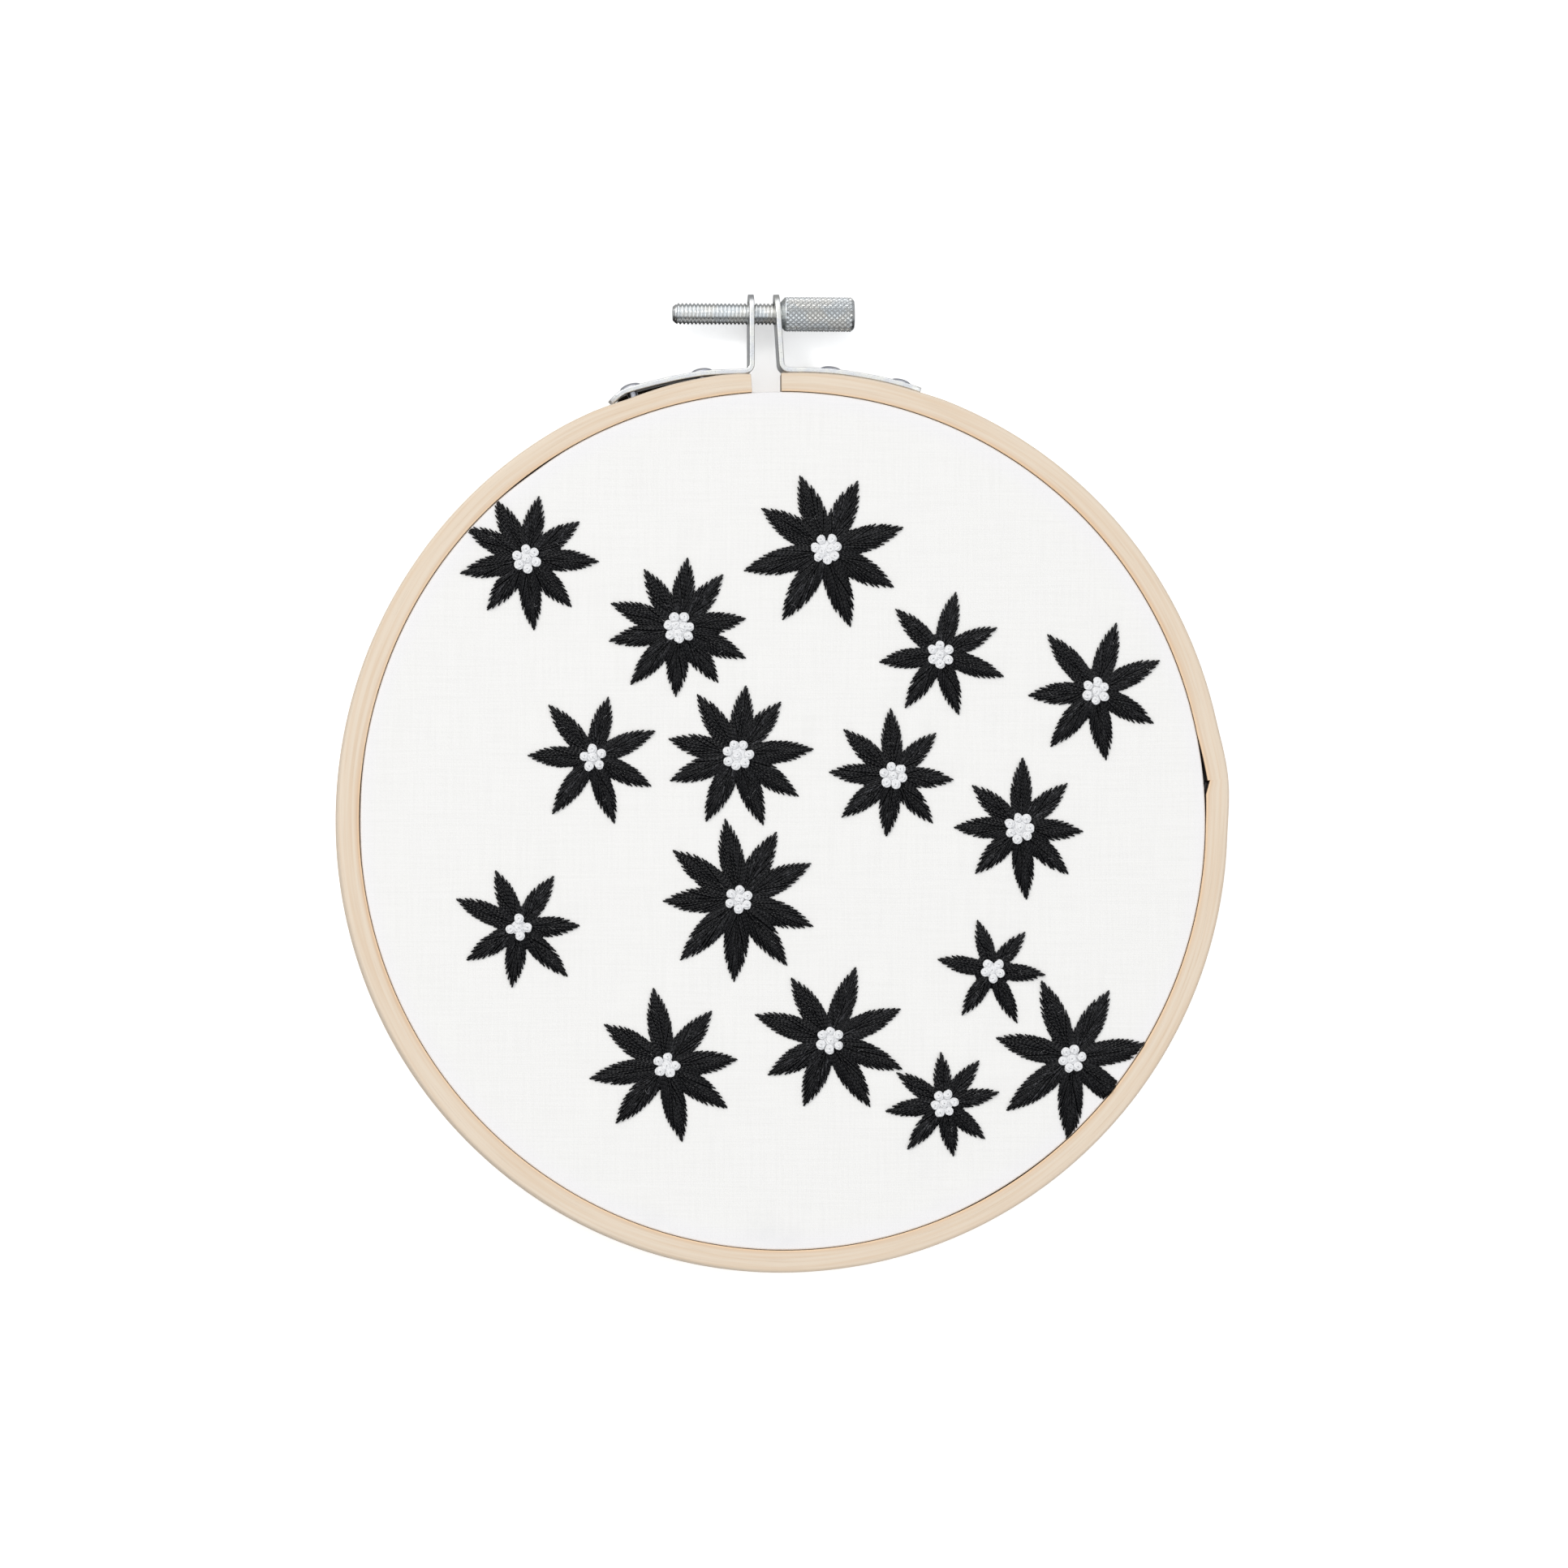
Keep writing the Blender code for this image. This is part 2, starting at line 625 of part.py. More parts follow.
def main():
    """Build every piece of the hoop and of its embroidery."""
    clear_scene()
    parts = new_collection("hoop_embroidery")
    cutters = new_collection("cutters")
    wood = new_material("pale_wood", (0.80, 0.66, 0.49), 0.55)
    cotton = new_material("white_cotton", (0.90, 0.90, 0.88), 0.9)
    zinc = new_material("zinc_plate", (0.72, 0.74, 0.75), 0.3, 1.0)
    black = new_material("black_thread", (0.012, 0.012, 0.014), 0.6)
    white = new_material("white_thread", (0.86, 0.86, 0.87), 0.8)
    holder = {"parts": parts, "cutters": cutters, "zinc": zinc, "thread": white}

    ring = build_outer_ring(parts, wood)
    build_inner_ring(parts, wood)
    build_cloth(parts, cotton)

    paths = {"left": left_bracket_path(), "right": right_bracket_path()}
    strips = {
        "left": build_bracket("bracket_left", paths["left"], parts, zinc),
        "right": build_bracket("bracket_right", paths["right"], parts, zinc),
    }
    build_ear_hole("ear_hole_left", LEFT_EAR_X, strips["left"], cutters)
    build_ear_hole("ear_hole_right", RIGHT_EAR_TOP_X, strips["right"], cutters)
    for name, x, side in RIVETS:
        build_rivet(name, x, paths[side], strips[side], ring, holder)
    build_screw(parts, zinc)

    spread = random.Random(FLOWER_SEED)
    for number, row in enumerate(FLOWERS, start=1):
        build_flower(number, row, spread, parts, black)
        build_knots(number, row, holder)


main()
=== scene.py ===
"""Looks of the hoop embroidery art: white cloth with sixteen black star flowers, held in a wooden hoop.

Lengths are in metres, in the part's own frame: the hoop lies on its back, +Z comes out of the stitched
face and +Y runs from the middle to the closing screw.
"""

import logging
import random
from collections.abc import Sequence
from dataclasses import dataclass, field
from enum import Enum
from functools import cache
from math import acos, cos, hypot, pi, radians, sin, tan, tau

import bmesh
import bpy
import numpy as np
from bpy.types import Material, Mesh, Node, NodeSocket, NodeTree, Object
from mathutils import Matrix, Vector


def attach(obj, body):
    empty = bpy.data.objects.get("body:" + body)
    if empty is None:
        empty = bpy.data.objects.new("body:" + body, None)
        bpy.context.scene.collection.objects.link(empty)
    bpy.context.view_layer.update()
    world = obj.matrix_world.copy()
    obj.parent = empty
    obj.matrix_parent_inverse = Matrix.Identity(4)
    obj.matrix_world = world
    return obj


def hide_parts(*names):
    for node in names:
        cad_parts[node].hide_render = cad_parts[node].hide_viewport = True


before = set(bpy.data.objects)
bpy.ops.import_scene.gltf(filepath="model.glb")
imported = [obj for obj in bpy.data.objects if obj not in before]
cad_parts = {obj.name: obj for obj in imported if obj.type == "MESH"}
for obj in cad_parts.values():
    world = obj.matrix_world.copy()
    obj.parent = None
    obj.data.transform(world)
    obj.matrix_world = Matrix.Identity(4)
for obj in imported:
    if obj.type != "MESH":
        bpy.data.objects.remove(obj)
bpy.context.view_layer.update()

MM = 0.001
Array = np.ndarray
Colour = Place = tuple[float, float, float]
log = logging.getLogger("hoop_embroidery")


# Node trees


class NodeBench:
    """Adds nodes to one tree and joins their sockets, so that a tree reads as a list of steps."""

    def __init__(self, tree: NodeTree) -> None:
        """Keep the tree that the nodes go into."""
        self.tree = tree
        self.results: Node | None = None

    def finish(self, results: dict) -> NodeTree:
        """Feed the tree's own outputs and hand out the tree."""
        self.feed(self.results, results)
        return self.tree

    def finish_shape(self, shape: object, material: object) -> NodeTree:
        """End a geometry tree with real geometry in its material, and hand out the tree."""
        real = self.out("GeometryNodeRealizeInstances", {0: shape})
        return self.finish({0: self.out("GeometryNodeSetMaterial", {0: real, "Material": material})})

    def feed(self, node: Node, feeds: dict) -> Node:
        """Feed a node's inputs.

        Args:
            node: The node.
            feeds: Input name or number, and a socket to join or a value to set.

        Returns:
            The node.
        """
        for key, value in feeds.items():
            socket = node.inputs[key] if isinstance(key, int) else self.shown(node.inputs, key)
            if isinstance(value, NodeSocket):
                self.tree.links.new(value, socket)
            else:
                socket.default_value = value
        return node

    def add(self, kind: str, feeds: dict | None = None, **settings: object) -> Node:
        """Add a node, set it, and feed its inputs.

        Args:
            kind: Blender's name of the node type.
            feeds: Input name or number, and a socket to join or a value to set.
            settings: The node's own properties.

        Returns:
            The new node.
        """
        made = self.tree.nodes.new(kind)
        for name, value in settings.items():
            setattr(made, name, value)
        return self.feed(made, feeds or {})

    def out(self, kind: str, feeds: dict | None = None, **settings: object) -> NodeSocket:
        """Add a node as add() does, and hand out its first output."""
        return self.add(kind, feeds, **settings).outputs[0]

    @staticmethod
    def shown(sockets: Sequence[NodeSocket], name: str) -> NodeSocket:
        """The socket of that name that the node's settings leave in use."""
        return next(socket for socket in sockets if socket.name == name and socket.enabled)

    def calc(self, operation: str, *values: object, clamp: bool = False) -> NodeSocket:
        """A sum on numbers, kept from 0 to 1 if clamp is set."""
        return self.out("ShaderNodeMath", dict(enumerate(values)), operation=operation, use_clamp=clamp)

    def times(self, first: object, second: object) -> NodeSocket:
        """One number times another."""
        return self.calc("MULTIPLY", first, second)

    def divided(self, first: object, second: object) -> NodeSocket:
        """One number divided by another."""
        return self.calc("DIVIDE", first, second)

    def vector(self, operation: str, *values: object) -> NodeSocket:
        """A sum on vectors.

        Args:
            operation: The sum's name.
            values: Its inputs in order.

        Returns:
            The result's socket.
        """
        slots = [3 if operation == "SCALE" and i == 1 else i for i in range(len(values))]
        made = self.add("ShaderNodeVectorMath", dict(zip(slots, values)), operation=operation)
        return made.outputs["Value" if operation in ("LENGTH", "DOT_PRODUCT", "DISTANCE") else "Vector"]

    def parts(self, vector: NodeSocket) -> list[NodeSocket]:
        """The three numbers of a vector."""
        return list(self.add("ShaderNodeSeparateXYZ", {0: vector}).outputs)

    def joined(self, x: object, y: object, z: object) -> NodeSocket:
        """A vector of three numbers."""
        return self.out("ShaderNodeCombineXYZ", {0: x, 1: y, 2: z})

    def noise(self, vector: object, scale: float, detail: float = 2.0, rough: float = 0.5) -> object:
        """Soft random values over a vector, with a number of finer layers and these layers' strength."""
        feeds = {"Vector": vector, "Scale": scale, "Detail": detail, "Roughness": rough}
        return self.out("ShaderNodeTexNoise", feeds)

    def span(self, value: object, low: float, high: float, to: tuple = (0.0, 1.0)) -> object:
        """A value's place between low and high, kept inside them, as a share of the way along `to`."""
        feeds = {"Value": value, "From Min": low, "From Max": high, "To Min": to[0], "To Max": to[1]}
        return self.out("ShaderNodeMapRange", feeds, interpolation_type="SMOOTHSTEP")

    def blend(self, share: object, first: object, second: object) -> NodeSocket:
        """A colour between two colours or sockets, with a share of the second."""
        ends = [(*end, 1.0) if isinstance(end, tuple) else end for end in (first, second)]
        return self.add("ShaderNodeMix", {0: share, 6: ends[0], 7: ends[1]}, data_type="RGBA").outputs[2]

    def read(self, name: str, output: str = "Fac") -> NodeSocket:
        """A mesh's own attribute, read in a material."""
        return self.add("ShaderNodeAttribute", attribute_name=name).outputs[output]

    def named(self, name: str, kind: str = "FLOAT_VECTOR") -> NodeSocket:
        """A mesh's own attribute, read in a geometry tree."""
        made = self.add("GeometryNodeInputNamedAttribute", {"Name": name}, data_type=kind)
        return self.shown(made.outputs, "Attribute")

    def keep(self, shape: object, name: str, value: object, kind: str = "FLOAT_VECTOR") -> object:
        """Store a socket's value on a shape's points in a geometry tree, under a name."""
        feeds = {"Geometry": shape, "Name": name, "Value": value}
        return self.out("GeometryNodeStoreNamedAttribute", feeds, data_type=kind, domain="POINT")

    def together(self, *shapes: object) -> NodeSocket:
        """One geometry made of several.

        Args:
            shapes: The geometries.

        Returns:
            The joined geometry's socket.
        """
        made = self.add("GeometryNodeJoinGeometry")
        for shape in shapes:
            self.tree.links.new(shape, made.inputs[0])
        return made.outputs[0]

    def with_rest(self, grown: object, host: object) -> NodeSocket:
        """What grew on a host's marked points, together with the rest of the host."""
        still = self.calc("SUBTRACT", 1.0, self.named("stitch", "BOOLEAN"))
        return self.together(grown, self.out("GeometryNodeSeparateGeometry", {0: host, 1: still}))

    def smooth(self, shape: object) -> NodeSocket:
        """A geometry shaded smooth."""
        return self.out("GeometryNodeSetShadeSmooth", {0: shape})

    def on_points(self, points: object, one: object, chosen: bool = True) -> NodeSocket:
        """Set a shape on points, turned as each point says.

        Args:
            points: The points.
            one: The shape.
            chosen: Whether only marked points take it, each in its own size.

        Returns:
            The socket of the many shapes.
        """
        turn = self.out("FunctionNodeEulerToRotation", {0: self.named("turn")})
        feeds = {"Points": points, "Instance": one, "Rotation": turn}
        if chosen:
            feeds |= {"Selection": self.named("stitch", "BOOLEAN"), "Scale": self.named("size")}
        return self.out("GeometryNodeInstanceOnPoints", feeds)

    def strand(self, lines: object, girth: object, sides: object) -> NodeSocket:
        """Round threads along lines, with each point's place round the thread kept on it.

        Args:
            lines: The lines.
            girth: The radius at each point.
            sides: How many sides a thread has.

        Returns:
            The threads' socket.
        """
        ring = self.out("GeometryNodeCurvePrimitiveCircle", {"Resolution": sides, "Radius": 1.0})
        share = self.add("GeometryNodeSplineParameter").outputs["Factor"]
        ring = self.keep(ring, "around", share, "FLOAT")
        feeds = {"Curve": lines, "Profile Curve": ring, "Scale": girth, "Fill Caps": True}
        return self.out("GeometryNodeCurveToMesh", feeds)


SOCKETS = {
    float: "NodeSocketFloat",
    int: "NodeSocketInt",
    "vector": "NodeSocketVector",
    "shape": "NodeSocketGeometry",
    "object": "NodeSocketObject",
    "material": "NodeSocketMaterial",
}


class TreeShop:
    """Makes the node groups, each once, with named inputs and outputs."""

    @staticmethod
    def start(name: str, kind: str, inputs: dict[str, object], outputs: Sequence[str]) -> tuple:
        """Start a group.

        Args:
            name: The group's name.
            kind: ShaderNodeTree or GeometryNodeTree.
            inputs: Socket name, and its first value, or its kind where it has none.
            outputs: Names of its outputs, which are numbers, or the one shape.

        Returns:
            The bench and the inputs' sockets.
        """
        tree = bpy.data.node_groups.new(name, kind)
        for label, value in inputs.items():
            socket = SOCKETS[value if isinstance(value, str) else type(value)]
            made = tree.interface.new_socket(name=label, in_out="INPUT", socket_type=socket)
            if not isinstance(value, str):
                made.default_value = value
        for label in outputs:
            socket = SOCKETS["shape" if label == "Geometry" else float]
            tree.interface.new_socket(name=label, in_out="OUTPUT", socket_type=socket)
        bench = NodeBench(tree)
        given, bench.results = bench.add("NodeGroupInput").outputs, bench.add("NodeGroupOutput")
        return bench, given

    @classmethod
    def start_shape(cls, name: str, inputs: dict[str, object]) -> tuple:
        """Start a geometry group, whose shape and material stand before and after its other inputs."""
        inputs = {"Geometry": "shape", **inputs, "Material": "material"}
        return cls.start(name, "GeometryNodeTree", inputs, ["Geometry"])

    @classmethod
    @cache
    def strip(cls) -> NodeTree:
        """A bent strip: a section carried along a path whose points say how it is shifted and stretched."""
        bench, given = cls.start_shape("strip_along_path", {"Section": "object"})
        place = bench.out("GeometryNodeInputPosition")
        path = bench.out("GeometryNodeMeshToCurve", {0: given["Geometry"]})
        path = bench.keep(path, "spot", place)
        outline = bench.add("GeometryNodeObjectInfo", {0: given["Section"]}).outputs["Geometry"]
        outline = bench.out("GeometryNodeMeshToCurve", {0: outline})
        outline = bench.keep(outline, "section", place)
        feeds = {"Curve": path, "Profile Curve": outline, "Fill Caps": True}
        swept = bench.out("GeometryNodeCurveToMesh", feeds)
        across, up, _ = bench.parts(bench.named("section"))
        wide, tall, shift = bench.parts(bench.named("stretch"))
        reach = bench.calc("MULTIPLY_ADD", across, wide, shift)
        spot = bench.vector("ADD", bench.named("spot"), bench.vector("SCALE", bench.named("side"), reach))
        spot = bench.vector("ADD", spot, bench.joined(0.0, 0.0, bench.times(up, tall)))
        placed = bench.out("GeometryNodeSetPosition", {0: swept, "Position": spot})
        placed = bench.keep(placed, "grain", bench.joined(bench.named("run", "FLOAT"), across, up))
        placed = bench.smooth(placed)
        return bench.finish_shape(placed, given["Material"])

    @classmethod
    @cache
    def thread(cls) -> NodeTree:
        """Threads: every marked line of the mesh becomes a slightly wavy strand, and its faces stay."""
        inputs = {"Radius": 0.0002, "Points": 7, "Sides": 6, "Waviness": 0.0, "Wave Fineness": 600.0}
        bench, given = cls.start_shape("thread_along_stitch", inputs)
        feeds = {"Mesh": given["Geometry"], "Selection": bench.named("stitch", "BOOLEAN")}
        lines = bench.out("GeometryNodeMeshToCurve", feeds)
        lines = bench.out("GeometryNodeCurveSplineType", {0: lines}, spline_type="CATMULL_ROM")
        feeds = {"Curve": lines, "Count": given["Points"]}
        lines = bench.out("GeometryNodeResampleCurve", feeds, mode="COUNT")
        place = bench.out("GeometryNodeInputPosition")
        wave = bench.add("ShaderNodeTexNoise", {"Vector": place, "Scale": given["Wave Fineness"]})
        away = bench.vector("SUBTRACT", wave.outputs[1], (0.5, 0.5, 0.5))
        away = bench.vector("SCALE", away, given["Waviness"])
        lines = bench.out("GeometryNodeSetPosition", {0: lines, "Offset": away})
        along = bench.add("GeometryNodeSplineParameter").outputs
        lines = bench.keep(lines, "strand", bench.joined(along["Length"], 0.0, bench.named("tone", "FLOAT")))
        end = bench.calc("PINGPONG", along["Factor"], 0.5)
        girth = bench.times(bench.span(end, 0.0, 0.07, (0.55, 1.0)), given["Radius"])
        both = bench.with_rest(bench.strand(lines, girth, given["Sides"]), given["Geometry"])
        return bench.finish_shape(bench.smooth(both), given["Material"])

    @classmethod
    @cache
    def knots(cls) -> NodeTree:
        """Knots: on every marked point a thread wound round and up, whose end dips into the middle."""
        inputs = {
            "Turns": 2.2, "Outer Radius": 0.0006, "Inner Radius": 0.0002, "Rise": 0.0004, "Dip": 0.0003,
            "Thread Radius": 0.0003, "Steps": 12, "Sides": 6,
        }
        bench, given = cls.start_shape("wound_knots", inputs)
        feeds = {
            "Resolution": given["Steps"], "Rotations": given["Turns"],
            "Start Radius": given["Outer Radius"], "End Radius": given["Inner Radius"],
            "Height": given["Rise"],
        }
        coil = bench.out("GeometryNodeCurveSpiral", feeds)
        along = bench.add("GeometryNodeSplineParameter").outputs
        dip = bench.times(bench.span(along["Factor"], 0.8, 1.0), given["Dip"])
        down = bench.joined(0.0, 0.0, bench.times(dip, -1.0))
        coil = bench.out("GeometryNodeSetPosition", {0: coil, "Offset": down})
        coil = bench.keep(coil, "strand", bench.joined(along["Length"], 0.0, 0.5))
        start = bench.span(along["Factor"], 0.0, 0.09, (0.25, 1.0))
        girth = bench.times(start, bench.span(along["Factor"], 1.0, 0.9, (1.1, 1.0)))
        girth = bench.times(girth, given["Thread Radius"])
        knot = bench.strand(coil, girth, given["Sides"])
        both = bench.with_rest(bench.on_points(given["Geometry"], knot), given["Geometry"])
        return bench.finish_shape(bench.smooth(both), given["Material"])

    @classmethod
    @cache
    def rivets(cls) -> NodeTree:
        """Rivets: a flattened dome on a shank, set on every point and turned as the point says."""
        inputs = {
            "Head Radius": 0.002, "Head Height": 0.0008, "Shank Radius": 0.0009, "Shank Length": 0.005,
        }
        bench, given = cls.start_shape("domed_rivets", inputs)
        ball = bench.out("GeometryNodeMeshUVSphere", {"Segments": 32, "Rings": 24, "Radius": 1.0})
        x, y, z = bench.parts(bench.out("GeometryNodeInputPosition"))
        cap = bench.joined(x, y, bench.calc("MAXIMUM", z, -0.06))
        ball = bench.out("GeometryNodeSetPosition", {0: ball, "Position": cap})
        size = bench.joined(given["Head Radius"], given["Head Radius"], given["Head Height"])
        head = bench.out("GeometryNodeTransform", {0: ball, "Scale": size})
        feeds = {"Vertices": 16, "Radius": given["Shank Radius"], "Depth": given["Shank Length"]}
        rod = bench.out("GeometryNodeMeshCylinder", feeds)
        drop = bench.joined(0.0, 0.0, bench.times(given["Shank Length"], -0.5))
        rod = bench.out("GeometryNodeTransform", {0: rod, "Translation": drop})
        low = bench.parts(bench.out("GeometryNodeInputPosition"))[2]
        # Painted shade on the shank below the head.
        rod = bench.keep(rod, "groove", bench.span(low, 0.0, -0.1 * MM, (0.0, 0.9)), "FLOAT")
        many = bench.on_points(given["Geometry"], bench.together(head, rod), chosen=False)
        return bench.finish_shape(bench.smooth(many), given["Material"])

    @classmethod
    @cache
    def knurl(cls) -> NodeTree:
        """Knurling: a blunt pyramid on every marked point of a turned grip, which stays as it is."""
        inputs = {"Half Length": 0.0005, "Half Width": 0.0005, "Height": 0.0003, "Blunt Share": 0.2}
        bench, given = cls.start_shape("diamond_knurl", inputs)
        feeds = {"Vertices": 4, "Radius Top": given["Blunt Share"], "Radius Bottom": 1.0, "Depth": 1.0}
        cone = bench.out("GeometryNodeMeshCone", feeds)
        height = bench.parts(bench.out("GeometryNodeInputPosition"))[2]
        # Painted shade towards each pyramid's foot, in the pits between the diamonds.
        cone = bench.keep(cone, "groove", bench.calc("MULTIPLY_ADD", height, -0.8, 0.8), "FLOAT")
        size = bench.joined(given["Half Length"], given["Half Width"], given["Height"])
        cone = bench.out("GeometryNodeTransform", {0: cone, "Scale": size})
        cone = bench.out("GeometryNodeSetShadeSmooth", {0: cone, "Shade Smooth": False})
        many = bench.out("GeometryNodeRealizeInstances", {0: bench.on_points(given["Geometry"], cone)})
        return bench.finish_shape(bench.with_rest(many, given["Geometry"]), given["Material"])


class EffectShop(TreeShop):
    """The surface effects that several finishes share, as shader groups."""

    @classmethod
    @cache
    def wood_grain(cls) -> NodeTree:
        """Grain of a bent strip, read along the strip, across it and up it."""
        inputs = {
            "Grain": "vector", "Streak Length": 0.032, "Streak Width": 0.0007, "Pore Length": 0.014,
        }
        outputs = ("Streak", "Band", "Pore", "Height")
        bench, given = cls.start("wood_grain", "ShaderNodeTree", inputs, outputs)
        run, across, up = bench.parts(given["Grain"])
        sway = bench.calc("MULTIPLY_ADD", bench.noise(given["Grain"], 30.0, 1.0), 0.0006, across)
        long = bench.divided(run, given["Streak Length"])
        place = bench.joined(long, *(bench.divided(value, given["Streak Width"]) for value in (sway, up)))
        streak = bench.noise(place, 1.0, 3.0, 0.6)
        band = bench.noise(bench.vector("MULTIPLY", place, (0.5, 0.22, 0.22)), 1.0, 1.0)
        short = bench.divided(run, given["Pore Length"])
        short = bench.joined(short, *(bench.times(value, 7000.0) for value in (across, up)))
        pore = bench.span(bench.noise(short, 1.0, 1.0), 0.62, 0.74)
        height = bench.calc("MULTIPLY_ADD", pore, -0.7, streak)
        return bench.finish({"Streak": streak, "Band": band, "Pore": pore, "Height": height})

    @classmethod
    @cache
    def plain_weave(cls) -> NodeTree:
        """Plain weave: warp and weft that pass over and under each other, with uneven threads."""
        inputs = {"Place": "vector", "Thread Pitch": 0.0004}
        outputs = ("Height", "Thread Tone", "Mottle")
        bench, given = cls.start("plain_weave", "ShaderNodeTree", inputs, outputs)
        drift = bench.add("ShaderNodeTexNoise", {"Vector": given["Place"], "Scale": 60.0, "Detail": 1.0})
        drift = bench.vector("SCALE", bench.vector("SUBTRACT", drift.outputs[1], (0.5, 0.5, 0.5)), 0.0006)
        place = bench.vector("ADD", given["Place"], drift)
        rate = bench.divided(pi, given["Thread Pitch"])
        x, y, _ = bench.parts(bench.vector("SCALE", place, rate))
        warp, weft = (bench.calc("ABSOLUTE", bench.calc("SINE", value)) for value in (x, y))
        column, row = (bench.calc("FLOOR", bench.divided(value, pi)) for value in (x, y))
        over = bench.calc("MODULO", bench.calc("ABSOLUTE", bench.calc("ADD", column, row)), 2.0)
        turned = bench.calc("MULTIPLY_ADD", over, bench.calc("SUBTRACT", warp, weft), weft)
        tones = [
            bench.noise(bench.vector("MULTIPLY_ADD", place, stretch, (0.0, 0.0, apart)), 1.0, 1.0)
            for stretch, apart in (((2500.0, 90.0, 0.0), 0.0), ((90.0, 2500.0, 0.0), 5.0))
        ]
        tone = bench.times(bench.calc("ADD", *tones), 0.5)
        height = bench.calc("MULTIPLY_ADD", tone, 0.8, turned)
        mottle = bench.noise(given["Place"], 45.0, 4.0, 0.6)
        return bench.finish({"Height": height, "Thread Tone": tone, "Mottle": mottle})

    @classmethod
    @cache
    def twisted_ply(cls) -> NodeTree:
        """The plies that wind round a thread, and its fuzz, read along the strand and round it."""
        inputs = {"Strand": "vector", "Around": 0.0, "Twist": 0.0009}
        outputs = ("Height", "Fuzz")
        bench, given = cls.start("twisted_ply", "ShaderNodeTree", inputs, outputs)
        run, _, tone = bench.parts(given["Strand"])
        phase = bench.calc("MULTIPLY_ADD", given["Around"], 2.0, bench.divided(run, given["Twist"]))
        wave = bench.calc("SINE", bench.times(phase, tau))
        long = bench.joined(bench.times(run, 700.0), bench.times(tone, 90.0), given["Around"])
        fuzz = bench.noise(long, 1.0, 3.0, 0.7)
        return bench.finish({"Height": bench.calc("MULTIPLY_ADD", fuzz, 0.6, wave), "Fuzz": fuzz})

    @classmethod
    @cache
    def plate_bloom(cls) -> NodeTree:
        """Clouding of zinc plate: cloudy tint, small marks and fine scratches, read by place."""
        inputs = {"Place": "vector", "Cloud Size": 0.002, "Mark Size": 0.0003}
        outputs = ("Cloud", "Mark", "Height")
        bench, given = cls.start("plate_bloom", "ShaderNodeTree", inputs, outputs)
        near, fine = (
            bench.vector("SCALE", given["Place"], bench.divided(1.0, given[size]))
            for size in ("Cloud Size", "Mark Size")
        )
        grit = bench.noise(fine, 1.0, 2.0, 0.6)
        cloud, mark = bench.noise(near, 1.0, 3.0, 0.55), bench.span(grit, 0.55, 0.72)
        return bench.finish({"Cloud": cloud, "Mark": mark, "Height": grit})


# Finishes


class Finish:
    """A material that is made once and kept."""

    kept: dict[str, Material] = {}

    def material(self, name: str) -> Material:
        """The finish as a material.

        Args:
            name: The material's name.

        Returns:
            The material, made at its first call.
        """
        if name not in self.kept:
            made = bpy.data.materials.new(name)
            made.use_nodes = True
            bench = NodeBench(made.node_tree)
            bench.feed(made.node_tree.nodes["Principled BSDF"], self.paint(bench))
            self.kept[name] = made
        return self.kept[name]

    def paint(self, bench: NodeBench) -> dict[str, object]:
        """Lay out the finish's nodes.

        Args:
            bench: The material's bench.

        Returns:
            What each input of the Principled shader gets, a socket or a value.
        """
        raise NotImplementedError

    @staticmethod
    def relief(bench: NodeBench, height: object, depth: float, strength: float) -> NodeSocket:
        """A bump's normal, from a socket of heights, its depth in metres and how much of it shows."""
        return bench.out("ShaderNodeBump", {"Height": height, "Distance": depth, "Strength": strength})


